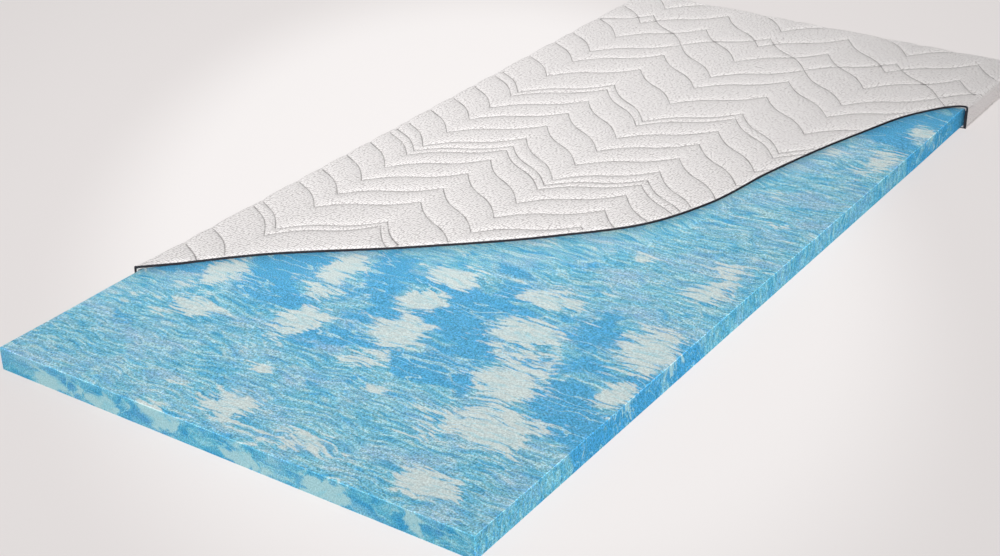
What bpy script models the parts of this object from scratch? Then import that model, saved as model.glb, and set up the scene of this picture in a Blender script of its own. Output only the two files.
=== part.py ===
"""Foam mattress topper in a quilted, zipped cover that is cut back along an S-shaped line.

The cover's top is a rolled-edge panel of three layers: a knitted face, a wadding and a backing,
drawn together along wave-shaped chevron lines. Its walls and its flat underside close it round
the foam slab, and a dark binding edges the cut all the way round. One long wall opens with a zip.
Lengths are in metres, X runs across the topper, Y along it and Z up.
"""
import math
from collections import namedtuple

import bmesh
import bpy
import numpy as np
from mathutils import Vector
from mathutils.geometry import delaunay_2d_cdt

MM = 0.001

# Foam slab
CORE_WIDTH = 900 * MM
CORE_LENGTH = 2000 * MM
CORE_THICKNESS = 40 * MM
CORE_EDGE_RADIUS = 1.2 * MM

# Gap kept between pieces that touch or are sewn together
CLEARANCE = 0.3 * MM

# Layers of the cover, from its outside in, and the roll of its top over the walls
FACE_THICKNESS = 0.8 * MM
WADDING_THICKNESS = 4.1 * MM
BACKING_THICKNESS = 0.6 * MM
ROLL_INNER_RADIUS = 3.9 * MM
UNDERSIDE_THICKNESS = 1.5 * MM
BORDER_THICKNESS = 5.0 * MM
BORDER_EDGE_RADIUS = 0.7 * MM

# Quilting: chevron legs of one half pitch across, rows spaced along the topper
QUILT_DEPTH = 2.6 * MM
QUILT_PUFF_WIDTH = 13 * MM
QUILT_HALF_PITCH = 149 * MM
QUILT_VALLEY_X = -57 * MM
QUILT_FIRST_ROW = 340 * MM
QUILT_ROW_SPACING = 76 * MM
QUILT_LEG_HEIGHT = 126 * MM
QUILT_LEG_BEND_SHARE = 0.42
QUILT_EDGE_MARGIN = 3 * MM
QUILT_CUT_MARGIN = 6 * MM
QUILT_CREST_GAP = 52 * MM
QUILT_LEG_STEPS = 3
QUILT_CROSSING_STEPS = 12
# Each plain row's place, in row spacings past the first row, and its leg height as a share
QUILT_ROW_SHARES = (
    (0.00, 1.02), (0.92, 1.02), (2.26, 1.10), (2.65, 1.02), (4.05, 0.95), (4.91, 0.98),
    (5.84, 1.04), (6.77, 1.07), (7.68, 0.95), (7.98, 0.95), (8.35, 1.09), (9.39, 1.05),
    (10.41, 1.06), (11.37, 1.09), (12.37, 1.08), (12.70, 1.12), (14.16, 1.09), (15.50, 1.09),
    (17.88, 1.20), (19.34, 1.17), (20.86, 1.19),
)
# Two rows of double pitch and height that cross one another and the plain rows near the far end
WIDE_ROW_SHARE = 16.46
WIDE_HEIGHT_SHARE = 2.23
WIDE_REACH = 2

# The cut, from the left wall to the right wall: places as shares of the cover's half width
# and of the slab's length
CUT_SHARES = (
    (-1.000, 0.1495), (-0.689, 0.2265), (-0.257, 0.3065), (0.161, 0.3945), (0.391, 0.4570),
    (0.502, 0.5210), (0.567, 0.6095), (0.709, 0.7395), (0.833, 0.8200), (0.920, 0.8490),
    (0.963, 0.8560), (1.000, 0.8575),
)
CUT_KNOT_STEPS = 12
CUT_STEP = 50 * MM
EDGE_STEP = 340 * MM
ROLL_STEPS = 3

# Binding along the cut, and how far it squeezes the edge of the quilted top
HEM_DEPTH = 2.9 * MM
BINDING_WIDTH = 2.4 * MM
BINDING_CROWN = 0.4 * MM
BINDING_FLOOR_GAP = 0.2 * MM

# Zip chain in the left wall
ZIP_END_MARGIN = 60 * MM
ZIP_TAPE_LAP_SHARE = 0.52
ZIP_TAPE_THICKNESS = 0.6 * MM
ZIP_TAPE_TAIL = 20 * MM
COIL_WIDTH = 2.2 * MM
COIL_THICKNESS = 1.4 * MM
COIL_ROUND_STEPS = 4
STOP_LENGTH = 2.5 * MM
STOP_OVERHANG = 0.2 * MM
STOP_EDGE_RADIUS = 0.2 * MM

# Zip slider
SLIDER_LENGTH = 11 * MM
SLIDER_TAPER = 0.2 * MM
SLIDER_CORNER = 1.6 * MM
SLIDER_PLATE = 0.8 * MM
SLIDER_FLANGE = 0.8 * MM
SLIDER_RUNNING_GAP = 0.4 * MM
SLIDER_COIL_GAP = 0.7 * MM
SLIDER_SIDE_GAP = 0.5 * MM
SLIDER_BACK_GAP = 2.9 * MM
SLIDER_PARK_GAP = 0.6 * MM
DIVIDER_LENGTH = 3.6 * MM
DIVIDER_WIDTH = 0.8 * MM
CROWN_WIDTH = 1.4 * MM
CROWN_LENGTH = 5.6 * MM
CROWN_BAR = 0.6 * MM
CROWN_CHAMFER = 0.35 * MM

# Zip puller, which hangs from a cross bar in the crown's tunnel
PULLER_LENGTH = 24 * MM
PULLER_THICKNESS = 0.9 * MM
PULLER_CROSSBAR = 0.9 * MM
PULLER_EDGE_RADIUS = 0.22 * MM
PULLER_NECK_SIDE = 1.2 * MM
PULLER_SIDE_GAP = 1.8 * MM
PULLER_SWING_GAP = 0.2 * MM
PULLER_EYE_SIDE_GAP = 0.6 * MM
PULLER_EYE_END_GAP = 2.0 * MM
PULLER_SLOT_LENGTH = 8 * MM
PULLER_SLOT_WIDTH = 2.4 * MM
PULLER_SLOT_END = 3.2 * MM
PULLER_ROUND_STEPS = 6
TOOL_OVERRUN = 1.0 * MM

# Edges rounder than these angles are shaded smooth, and sharper ones are bevelled
SMOOTH_ANGLE = math.radians(35)
COIL_SMOOTH_ANGLE = math.radians(50)
BEVEL_ANGLE = math.radians(40)
MERGE_DISTANCE = 0.001 * MM

# Sizes of the zip that follow from its slider
ZIP_PARTING = DIVIDER_WIDTH + 2 * SLIDER_RUNNING_GAP
SLIDER_FRONT_WIDTH = ZIP_PARTING + 2 * (COIL_WIDTH + SLIDER_COIL_GAP + SLIDER_FLANGE)
SLIDER_REAR_WIDTH = SLIDER_FRONT_WIDTH - SLIDER_TAPER
ZIP_OPENING = SLIDER_FRONT_WIDTH + 2 * SLIDER_SIDE_GAP
PULLER_TAB_WIDTH = ZIP_OPENING - 2 * PULLER_SIDE_GAP
PULLER_EYE_WIDTH = CROWN_WIDTH + 2 * PULLER_EYE_SIDE_GAP
PULLER_EYE_LENGTH = CROWN_LENGTH / 2 + PULLER_EYE_END_GAP
PULLER_NECK_WIDTH = PULLER_EYE_WIDTH + 2 * PULLER_NECK_SIDE
CROWN_TUNNEL = math.hypot(PULLER_THICKNESS, PULLER_CROSSBAR) + PULLER_SWING_GAP

# Places that follow from the layers: the cover stands off the slab far enough for the zip in
# its wall and for the roll of its top
PANEL_THICKNESS = FACE_THICKNESS + WADDING_THICKNESS + BACKING_THICKNESS + 2 * CLEARANCE
SLIDER_BACK = CLEARANCE + ZIP_TAPE_THICKNESS + SLIDER_RUNNING_GAP + SLIDER_PLATE
STAND_OFF = max(BORDER_THICKNESS + SLIDER_BACK + SLIDER_BACK_GAP,
                PANEL_THICKNESS + ROLL_INNER_RADIUS)
HALF_WIDTH = CORE_WIDTH / 2 + STAND_OFF
WALL_INNER = HALF_WIDTH - BORDER_THICKNESS
COVER_BACK = CORE_LENGTH + STAND_OFF
CORE_BOTTOM = UNDERSIDE_THICKNESS + CLEARANCE
CORE_TOP = CORE_BOTTOM + CORE_THICKNESS
PANEL_TOP = CORE_TOP + CLEARANCE + PANEL_THICKNESS
ROLL_RADIUS = STAND_OFF
ROLL_X = HALF_WIDTH - ROLL_RADIUS
ROLL_Y = COVER_BACK - ROLL_RADIUS
ROLL_Z = PANEL_TOP - ROLL_RADIUS
BORDER_BOTTOM = CORE_BOTTOM
BORDER_TOP = ROLL_Z - CLEARANCE
BINDING_REACH = (CLEARANCE, CLEARANCE + BINDING_WIDTH)

# Places of the zip in its wall
ZIP_END = ROLL_Y - ZIP_END_MARGIN
ZIP_HEIGHT = (BORDER_BOTTOM + BORDER_TOP) / 2
ZIP_STRIP_HEIGHT = (BORDER_TOP - BORDER_BOTTOM - ZIP_OPENING) / 2
ZIP_TAPE_WIDTH = (ZIP_OPENING - ZIP_PARTING) / 2 + ZIP_TAPE_LAP_SHARE * ZIP_STRIP_HEIGHT
CHAIN_END = ZIP_END - STOP_LENGTH - 2 * CLEARANCE

# Depths in from the zipped wall's outer face
TAPE_DEPTH = BORDER_THICKNESS + CLEARANCE
COIL_DEPTH = TAPE_DEPTH - CLEARANCE - COIL_THICKNESS
PLATE_DEPTH = COIL_DEPTH - SLIDER_RUNNING_GAP - SLIDER_PLATE
INNER_PLATE_DEPTH = TAPE_DEPTH + ZIP_TAPE_THICKNESS + SLIDER_RUNNING_GAP

# Triangles of the top panel in plan, its outline's point numbers, and how far each point of it
# is drawn down by the quilting and the hem
PanelPlan = namedtuple("PanelPlan", "points triangles outline relief")


def clear_scene():
    """Removes every object that the new file starts with."""
    for item in list(bpy.data.objects):
        bpy.data.objects.remove(item, do_unlink=True)


def material(name, colour, roughness, metallic=0.0):
    """Principled material of one colour."""
    result = bpy.data.materials.new(name)
    result.use_nodes = True
    shader = result.node_tree.nodes["Principled BSDF"]
    shader.inputs["Base Color"].default_value = (*colour, 1.0)
    shader.inputs["Roughness"].default_value = roughness
    shader.inputs["Metallic"].default_value = metallic
    return result


def add_object(name, vertices, faces, finish, parent):
    """Closed mesh object with its faces pointing outwards."""
    mesh = bpy.data.meshes.new(name)
    mesh.from_pydata([tuple(vertex) for vertex in vertices], [], faces)
    shape = bmesh.new()
    shape.from_mesh(mesh)
    bmesh.ops.recalc_face_normals(shape, faces=shape.faces)
    shape.to_mesh(mesh)
    shape.free()
    item = bpy.data.objects.new(name, mesh)
    bpy.context.scene.collection.objects.link(item)
    item.parent = parent
    if finish is not None:
        mesh.materials.append(finish)
    return item


def in_plan(x, y, z):
    """Point of a shape drawn in plan and extruded upwards."""
    return (x, y, z)


def along_wall(depth, z, y):
    """Point of a section of the zipped wall, extruded along the wall."""
    return (depth - HALF_WIDTH, y, z)


def on_slider(y, z, depth):
    """Point of a shape drawn on the slider's face and extruded into the wall."""
    return (depth, y, z)


def across_slider(y, depth, z):
    """Point of a side view of the slider, extruded across it."""
    return (depth, y, z)


def prism(outline, place, low, high):
    """Vertices and faces of an outline extruded from low to high, with place giving each point."""
    count = len(outline)
    vertices = [place(*point, level) for level in (low, high) for point in outline]
    sides = [(i, (i + 1) % count, count + (i + 1) % count, count + i) for i in range(count)]
    caps = [tuple(reversed(range(count))), tuple(range(count, 2 * count))]
    return vertices, sides + caps


def rectangle(first, second, low, high):
    """Outline between two places one way and two places the other way."""
    return [(first, low), (second, low), (second, high), (first, high)]


def soften(item, radius, segments=2):
    """Rounds the sharp edges of a piece."""
    bevel = item.modifiers.new("soft edges", "BEVEL")
    bevel.width = radius
    bevel.segments = segments
    bevel.limit_method = "ANGLE"
    bevel.angle_limit = BEVEL_ANGLE


def combine(item, tool, operation):
    """Joins a hidden tool to a piece, or cuts it away."""
    tool.hide_render = True
    tool.display_type = "WIRE"
    step = item.modifiers.new(tool.name, "BOOLEAN")
    step.operation = operation
    step.object = tool
    step.solver = "EXACT"


def shade_round(item, angle=SMOOTH_ANGLE):
    """Smooth shading that keeps the sharp edges."""
    item.data.shade_smooth()
    item.data.set_sharp_from_angle(angle=angle)


def length_along(points):
    """Running length at each point of a line."""
    return np.concatenate(([0.0], np.cumsum(np.hypot(*np.diff(points, axis=0).T))))


def smooth_curve(knots, steps):
    """Points of a smooth curve through the knots, with a steady number of steps between them."""
    knots = np.array(knots)
    along = length_along(knots)
    slopes = np.gradient(knots, along, axis=0)
    points = []
    for i in range(len(knots) - 1):
        span = along[i + 1] - along[i]
        for t in np.arange(steps) / steps:
            start = (1 + 2 * t) * (1 - t) ** 2 * knots[i] + t * (1 - t) ** 2 * span * slopes[i]
            end = t * t * (3 - 2 * t) * knots[i + 1] + t * t * (t - 1) * span * slopes[i + 1]
            points.append(start + end)
    points.append(knots[-1])
    return np.array(points)


CUT_KNOTS = [(across * HALF_WIDTH, along * CORE_LENGTH) for across, along in CUT_SHARES]
CUT_CURVE = smooth_curve(CUT_KNOTS, CUT_KNOT_STEPS)


def cut_y(x):
    """Where the cut crosses the cover at a place across its width; it runs square through walls."""
    inside = min(max(x, -WALL_INNER), WALL_INNER)
    return float(np.interp(inside, CUT_CURVE[:, 0], CUT_CURVE[:, 1]))


CUT_LEFT = cut_y(-HALF_WIDTH)
CUT_RIGHT = cut_y(HALF_WIDTH)


def roll_offsets():
    """Distances out from the flat top at which the rolled edge has its lines, in plan."""
    turns = [math.pi / 2 * j / ROLL_STEPS for j in range(ROLL_STEPS + 1)]
    return [ROLL_RADIUS * math.sin(turn) for turn in turns]


def cut_points():
    """Plan points along the cut, from the left wall to the right wall."""
    inner = CUT_CURVE[np.abs(CUT_CURVE[:, 0]) < ROLL_X]
    line = np.array([(-ROLL_X, cut_y(-ROLL_X)), *inner, (ROLL_X, cut_y(ROLL_X))])
    along = length_along(line)
    marks = np.linspace(0.0, along[-1], max(2, round(along[-1] / CUT_STEP)) + 1)
    flat = [tuple(float(np.interp(mark, along, line[:, axis])) for axis in (0, 1))
            for mark in marks]
    rolled = [ROLL_X + offset for offset in roll_offsets()[1:]]
    left = [(-x, cut_y(-x)) for x in reversed(rolled)]
    right = [(x, cut_y(x)) for x in rolled]
    return left + flat + right


def ring_points(offset):
    """Plan points of a line round the right wall, the back and the left wall, from cut to cut."""
    side = ROLL_X + offset
    up = np.linspace(cut_y(side), ROLL_Y, round((ROLL_Y - CUT_RIGHT) / EDGE_STEP) + 1)
    down = np.linspace(ROLL_Y, cut_y(-side), round((ROLL_Y - CUT_LEFT) / EDGE_STEP) + 1)
    back = np.linspace(ROLL_X, -ROLL_X, round(2 * ROLL_X / EDGE_STEP) + 1)
    turns = [math.pi / 2 * j / ROLL_STEPS for j in range(1, ROLL_STEPS)]
    if offset == 0.0:
        back = back[1:-1]
        turns = []
    arc = [(ROLL_X + offset * math.cos(a), ROLL_Y + offset * math.sin(a)) for a in turns]
    points = [(side, y) for y in up] + arc
    points += [(x, ROLL_Y + offset) for x in back]
    points += [(-x, y) for x, y in reversed(arc)]
    return points + [(-side, y) for y in down]


def leg(share):
    """Height share along an S-shaped chevron leg: steep at its ends, flatter in the middle."""
    return share + QUILT_LEG_BEND_SHARE / (2 * math.pi) * math.sin(2 * math.pi * share)


def chevron(x, valley, height, reach=1, shift=0):
    """Place along the topper of a quilting row at x; reach is its leg length in half pitches."""
    turn, share = divmod(((x - QUILT_VALLEY_X) / QUILT_HALF_PITCH - shift) / reach, 1.0)
    rising = int(turn) % 2 == 0
    step, rest = divmod((share if rising else 1.0 - share) * reach, 1.0)
    return valley + height * (step + leg(rest)) / reach


def quilt_stations():
    """Places across the topper at which the quilting rows have their points."""
    step = QUILT_HALF_PITCH / QUILT_LEG_STEPS
    first = math.floor((-HALF_WIDTH - QUILT_VALLEY_X) / step) - 1
    last = math.ceil((HALF_WIDTH - QUILT_VALLEY_X) / step) + 1
    return [QUILT_VALLEY_X + step * i for i in range(first, last + 1)]


def quilt_rows(stations):
    """Every quilting row as its places along the topper at the stations."""
    shares = list(QUILT_ROW_SHARES)
    while QUILT_FIRST_ROW + QUILT_ROW_SPACING * shares[-1][0] < COVER_BACK:
        shares.append((shares[-1][0] + 1.0, shares[-1][1]))
    rows = []
    for place, height in shares:
        valley = QUILT_FIRST_ROW + QUILT_ROW_SPACING * place
        rows.append([chevron(x, valley, QUILT_LEG_HEIGHT * height) for x in stations])
    valley = QUILT_FIRST_ROW + QUILT_ROW_SPACING * WIDE_ROW_SHARE
    height = QUILT_LEG_HEIGHT * WIDE_HEIGHT_SHARE
    for shift in (0, WIDE_REACH):
        rows.append([chevron(x, valley, height, WIDE_REACH, shift) for x in stations])
    return rows


STATIONS = quilt_stations()
ROWS = quilt_rows(STATIONS)


def on_flat(x, y):
    """Whether a plan point lies on the quilted part of the top, clear of its edges."""
    in_width = abs(x) < ROLL_X - QUILT_EDGE_MARGIN
    return in_width and cut_y(x) + QUILT_CUT_MARGIN < y < ROLL_Y - QUILT_EDGE_MARGIN


def edge_crossing(inside, outside):
    """Last plan point of a quilting leg that still lies on the quilted part."""
    inside, outside = np.array(inside), np.array(outside)
    for _ in range(QUILT_CROSSING_STEPS):
        middle = (inside + outside) / 2
        if on_flat(*middle):
            inside = middle
        else:
            outside = middle
    return tuple(inside)


def quilt_runs():
    """Runs of plan points along the quilting rows, cut off at the panel's edges."""
    runs = []
    for row in ROWS:
        points = list(zip(STATIONS, row))
        run = []
        for here, following in zip(points, points[1:]):
            if on_flat(*here) and not run:
                run = [here]
            if on_flat(*here) and on_flat(*following):
                run.append(following)
            elif on_flat(*here):
                runs.append(run + [edge_crossing(here, following)])
                run = []
            elif on_flat(*following):
                run = [edge_crossing(following, here), following]
    return runs


def quilt_relief(x, y):
    """How far the quilting draws the surface down at a plan point."""
    reach = min(abs(y - np.interp(x, STATIONS, row)) for row in ROWS)
    slope = math.cos(math.atan2(QUILT_LEG_HEIGHT, QUILT_HALF_PITCH))
    return QUILT_DEPTH * math.exp(-reach * slope / QUILT_PUFF_WIDTH)


def hem_relief(x):
    """How far the binding squeezes the panel down at the cut; not at all where it rolls over."""
    return HEM_DEPTH if abs(x) < ROLL_X - QUILT_EDGE_MARGIN else 0.0


def crest_points():
    """Plan points midway between neighbouring quilting rows that lie well apart."""
    points = []
    for i, x in enumerate(STATIONS):
        places = sorted(row[i] for row in ROWS)
        for low, high in zip(places, places[1:]):
            middle = (low + high) / 2
            if high - low > QUILT_CREST_GAP and on_flat(x, middle):
                points.append((x, middle))
    return points


def line_edges(first, count):
    """Edges along a line of points that are numbered in order."""
    return [(first + i, first + i + 1) for i in range(count - 1)]


def panel_plan(quilted):
    """Top panel in plan, with the lines of its rolled edge and, if quilted, of its quilting."""
    cut = cut_points()
    rings = [ring_points(offset)[1:-1] for offset in roll_offsets()]
    points = cut + rings[-1]
    outline = list(range(len(points)))
    edges = []
    for steps_in, ring in zip(range(ROLL_STEPS, 0, -1), rings):
        first, last = len(points), len(points) + len(ring) - 1
        points += ring
        edges += line_edges(first, len(ring))
        edges += [(len(cut) - 1 - steps_in, first), (last, steps_in)]
    smooth_count = len(points)
    if quilted:
        for run in quilt_runs():
            edges += line_edges(len(points), len(run))
            points += run
        points += crest_points()
    flat_points = [Vector(point) for point in points]
    made = delaunay_2d_cdt(flat_points, edges, [outline], 0, MERGE_DISTANCE, True)
    spots, _, triangles, sources, _, owners = made
    inside = [tuple(triangle) for triangle, owner in zip(triangles, owners) if owner]
    used = sorted({i for triangle in inside for i in triangle})
    number = {old: new for new, old in enumerate(used)}
    origin = {source: number[i] for i in used for source in sources[i]}
    smooth = {origin[i] for i in range(smooth_count) if i in origin}
    kept = [tuple(spots[i]) for i in used]
    relief = [0.0 if i in smooth else quilt_relief(*spot) for i, spot in enumerate(kept)]
    if quilted:
        for i in (origin[j] for j in range(len(cut))):
            relief[i] = hem_relief(kept[i][0])
    triangles = [tuple(number[i] for i in triangle) for triangle in inside]
    return PanelPlan(kept, triangles, [origin[i] for i in outline], relief)


def panel_point(x, y, drop, relief=0.0):
    """Point at a depth below the panel's outer surface, over a plan point on that surface."""
    flat_x = min(max(x, -ROLL_X), ROLL_X)
    flat_y = min(y, ROLL_Y)
    out = Vector((x - flat_x, y - flat_y))
    rise = math.sqrt(max(0.0, 1.0 - (out.length / ROLL_RADIUS) ** 2))
    radius = ROLL_RADIUS - drop
    shift = out * (radius / ROLL_RADIUS)
    return Vector((flat_x + shift.x, flat_y + shift.y, ROLL_Z + radius * rise - relief))


def layer(name, finish, parent, top, top_drop, bottom, bottom_drop):
    """One layer of the panel, between two plans at two drops below its outer surface."""
    vertices = [panel_point(*spot, top_drop, relief)
                for spot, relief in zip(top.points, top.relief)]
    first = len(vertices)
    vertices += [panel_point(*spot, bottom_drop, relief)
                 for spot, relief in zip(bottom.points, bottom.relief)]
    faces = list(top.triangles)
    faces += [tuple(first + i for i in reversed(triangle)) for triangle in bottom.triangles]
    rims = zip(top.outline, top.outline[1:] + top.outline[:1],
               bottom.outline, bottom.outline[1:] + bottom.outline[:1])
    faces += [(top_next, top_here, first + low_here, first + low_next)
              for top_here, top_next, low_here, low_next in rims]
    item = add_object(name, vertices, faces, finish, parent)
    shade_round(item)


def top_panel(parent, knit, wadding, backing):
    """Quilted top: knitted face, wadding and backing, each rolled over the walls."""
    quilted = panel_plan(quilted=True)
    plain = panel_plan(quilted=False)
    wadding_top = FACE_THICKNESS + CLEARANCE
    wadding_bottom = wadding_top + WADDING_THICKNESS
    backing_top = wadding_bottom + CLEARANCE
    layer("top_face_knit", knit, parent, quilted, 0.0, quilted, FACE_THICKNESS)
    layer("top_wadding", wadding, parent, quilted, wadding_top, plain, wadding_bottom)
    layer("top_backing", backing, parent, plain, backing_top, plain, PANEL_THICKNESS)


def foam_core(parent, finish):
    """Plain foam slab with crisp, very slightly rounded edges."""
    outline = rectangle(-CORE_WIDTH / 2, CORE_WIDTH / 2, 0.0, CORE_LENGTH)
    slab = prism(outline, in_plan, CORE_BOTTOM, CORE_TOP)
    item = add_object("foam_core", *slab, finish, parent)
    soften(item, CORE_EDGE_RADIUS)
    shade_round(item)


def back_arc(radius, side):
    """Plan points of a rounded back corner of the cover, from the side wall to the back."""
    turns = [math.pi / 2 * j / (2 * ROLL_STEPS) for j in range(2 * ROLL_STEPS + 1)]
    return [(side * (ROLL_X + radius * math.cos(a)), ROLL_Y + radius * math.sin(a)) for a in turns]


def underside_panel(parent, finish):
    """Flat knitted underside, cut back along the same line as the top."""
    outline = cut_points() + back_arc(ROLL_RADIUS, 1) + back_arc(ROLL_RADIUS, -1)[::-1]
    sheet = prism(outline, in_plan, 0.0, UNDERSIDE_THICKNESS)
    add_object("underside_panel", *sheet, finish, parent)


def border(name, finish, parent, outline, low, high):
    """Padded strip of a wall, drawn in plan, with soft edges."""
    item = add_object(name, *prism(outline, in_plan, low, high), finish, parent)
    soften(item, BORDER_EDGE_RADIUS)
    shade_round(item)


def borders(parent, finish):
    """Walls of the cover: the right one, the back with its corners, and the zipped left one."""
    wall_end = ROLL_Y - CLEARANCE
    right = rectangle(WALL_INNER, HALF_WIDTH, CUT_RIGHT, wall_end)
    border("border_right", finish, parent, right, BORDER_BOTTOM, BORDER_TOP)
    inner = ROLL_RADIUS - BORDER_THICKNESS
    back = back_arc(ROLL_RADIUS, 1) + back_arc(ROLL_RADIUS, -1)[::-1]
    back += back_arc(inner, -1) + back_arc(inner, 1)[::-1]
    border("border_back", finish, parent, back, BORDER_BOTTOM, BORDER_TOP)
    strip = rectangle(-HALF_WIDTH, -WALL_INNER, CUT_LEFT, ZIP_END - CLEARANCE)
    lower_top = BORDER_BOTTOM + ZIP_STRIP_HEIGHT
    upper_bottom = BORDER_TOP - ZIP_STRIP_HEIGHT
    border("border_left_lower", finish, parent, strip, BORDER_BOTTOM, lower_top)
    border("border_left_upper", finish, parent, strip, upper_bottom, BORDER_TOP)
    end = rectangle(-HALF_WIDTH, -WALL_INNER, ZIP_END, wall_end)
    border("border_left_end", finish, parent, end, BORDER_BOTTOM, BORDER_TOP)


def cut_normals(points):
    """Directions out of the cut, square to it on the top and straight along the walls."""
    points = np.array(points)
    along = np.gradient(points, axis=0)
    out = np.stack([along[:, 1], -along[:, 0]], axis=1)
    out /= np.linalg.norm(out, axis=1)[:, None]
    turned = np.clip((np.abs(points[:, 0]) - ROLL_X) / ROLL_RADIUS, 0.0, 1.0)[:, None]
    out = (1 - turned) * out + turned * np.array([0.0, -1.0])
    return out / np.linalg.norm(out, axis=1)[:, None]


def crowned_section(outer, inner):
    """Points round the binding: its near and far edges, and a crown between them outside."""
    crown = (outer[0] - inner[0]).normalized() * BINDING_CROWN
    middle = (outer[0] + outer[1]) / 2 + crown
    return [inner[0], outer[0], middle, outer[1], inner[1]]


def top_section(point, normal):
    """Binding section where the cut crosses the rolled panel."""
    spots = [np.array(point) + normal * reach for reach in BINDING_REACH]
    outer = [panel_point(*spot, 0.0, hem_relief(point[0])) for spot in spots]
    inner = [panel_point(*spot, PANEL_THICKNESS) for spot in spots]
    return crowned_section(outer, inner)


def wall_section(side, place, outer_z, inner_z):
    """Binding section where the cut runs down a wall."""
    outer = [Vector((side * HALF_WIDTH, place - reach, outer_z)) for reach in BINDING_REACH]
    inner = [Vector((side * WALL_INNER, place - reach, inner_z)) for reach in BINDING_REACH]
    return crowned_section(outer, inner)


def under_section(point, normal):
    """Binding section along the underside panel, flat below."""
    spots = [np.array(point) + normal * reach for reach in BINDING_REACH]
    low = [Vector((*spot, BINDING_FLOOR_GAP)) for spot in spots]
    high = [Vector((*spot, UNDERSIDE_THICKNESS)) for spot in spots]
    return [high[0], low[0], (low[0] + low[1]) / 2, low[1], high[1]]


def binding(parent, finish):
    """Dark edging that follows the cut over the top, down both walls and under the slab."""
    points = cut_points()
    normals = cut_normals(points)
    shoulder = BORDER_TOP - BORDER_EDGE_RADIUS
    heights = ((shoulder, shoulder), (ZIP_HEIGHT, ZIP_HEIGHT),
               (BINDING_FLOOR_GAP, UNDERSIDE_THICKNESS))
    inside = WALL_INNER - CLEARANCE
    below = [pair for pair in zip(points, normals) if abs(pair[0][0]) < inside]
    below = [((-inside, CUT_LEFT), np.array([0.0, -1.0])), *below,
             ((inside, CUT_RIGHT), np.array([0.0, -1.0]))]
    sections = [top_section(*pair) for pair in zip(points, normals)]
    sections += [wall_section(1, CUT_RIGHT, *pair) for pair in heights]
    sections += [under_section(*pair) for pair in reversed(below)]
    sections += [wall_section(-1, CUT_LEFT, *pair) for pair in reversed(heights)]
    size, count = len(sections[0]), len(sections)
    vertices = [point for section in sections for point in section]
    faces = []
    for i in range(count):
        here, ahead = i * size, (i + 1) % count * size
        faces += [(here + j, here + (j + 1) % size, ahead + (j + 1) % size, ahead + j)
                  for j in range(size)]
    item = add_object("cut_edge_binding", vertices, faces, finish, parent)
    shade_round(item)


def zip_side(parent, side, word, tape_finish, coil_finish, stop_finish):
    """One half of the zip chain: its tape behind the wall's strip, its coil and its end stop."""
    edge = ZIP_HEIGHT + side * ZIP_PARTING / 2
    tape_far = edge + side * ZIP_TAPE_WIDTH
    section = rectangle(TAPE_DEPTH, TAPE_DEPTH + ZIP_TAPE_THICKNESS, edge, tape_far)
    tape = prism(section, along_wall, CUT_LEFT, ZIP_END + ZIP_TAPE_TAIL)
    add_object(f"zip_tape_{word}", *tape, tape_finish, parent)
    middle = edge + side * COIL_WIDTH / 2
    foot = COIL_DEPTH + COIL_THICKNESS
    turns = [math.pi * j / COIL_ROUND_STEPS for j in range(COIL_ROUND_STEPS + 1)]
    section = [(foot - COIL_THICKNESS * math.sin(a), middle + COIL_WIDTH / 2 * math.cos(a))
               for a in turns]
    coil = prism(section, along_wall, CUT_LEFT, CHAIN_END)
    item = add_object(f"zip_coil_{word}", *coil, coil_finish, parent)
    shade_round(item, COIL_SMOOTH_ANGLE)
    stop_far = edge + side * (COIL_WIDTH + STOP_OVERHANG)
    section = rectangle(COIL_DEPTH, foot, edge, stop_far)
    start = CHAIN_END + CLEARANCE
    stop = prism(section, along_wall, start, start + STOP_LENGTH)
    item = add_object(f"zip_stop_{word}", *stop, stop_finish, parent)
    soften(item, STOP_EDGE_RADIUS)


def plate_outline():
    """Outline of the slider's plates: tapered, with cut corners at its front."""
    rear, front = -SLIDER_LENGTH / 2, SLIDER_LENGTH / 2
    rear_half, front_half = SLIDER_REAR_WIDTH / 2, SLIDER_FRONT_WIDTH / 2
    upper = [(rear, rear_half), (front - SLIDER_CORNER, front_half),
             (front, front_half - SLIDER_CORNER)]
    return upper + [(y, -z) for y, z in reversed(upper)]


def flange_outline(side):
    """Outline of one side flange, which follows the plates' taper as far as their corners."""
    rear, front = -SLIDER_LENGTH / 2, SLIDER_LENGTH / 2 - SLIDER_CORNER
    rear_half, front_half = SLIDER_REAR_WIDTH / 2, SLIDER_FRONT_WIDTH / 2
    return [(rear, side * rear_half), (front, side * front_half),
            (front, side * (front_half - SLIDER_FLANGE)),
            (rear, side * (rear_half - SLIDER_FLANGE))]


def divider_outline():
    """Outline of the wedge between the plates that parts the two coils."""
    nose = SLIDER_LENGTH / 2 - SLIDER_CORNER / 2
    tail = nose - DIVIDER_LENGTH
    shoulder, half = tail + DIVIDER_LENGTH / 2, DIVIDER_WIDTH / 2
    return [(tail, 0.0), (shoulder, -half), (nose, -half), (nose, half), (shoulder, half)]


def crown_outline():
    """Side view of the crown: an arch over the tunnel that holds the puller's cross bar."""
    half, foot = CROWN_LENGTH / 2, PLATE_DEPTH + SLIDER_PLATE / 2
    under = PLATE_DEPTH - CROWN_TUNNEL
    top = under - CROWN_BAR
    outside = [(-half, foot), (-half, top + CROWN_CHAMFER), (-half + CROWN_CHAMFER, top),
               (half - CROWN_CHAMFER, top), (half, top + CROWN_CHAMFER), (half, foot)]
    inside = [(half - CROWN_BAR, foot), (half - CROWN_BAR, under),
              (CROWN_BAR - half, under), (CROWN_BAR - half, foot)]
    return outside + inside


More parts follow.
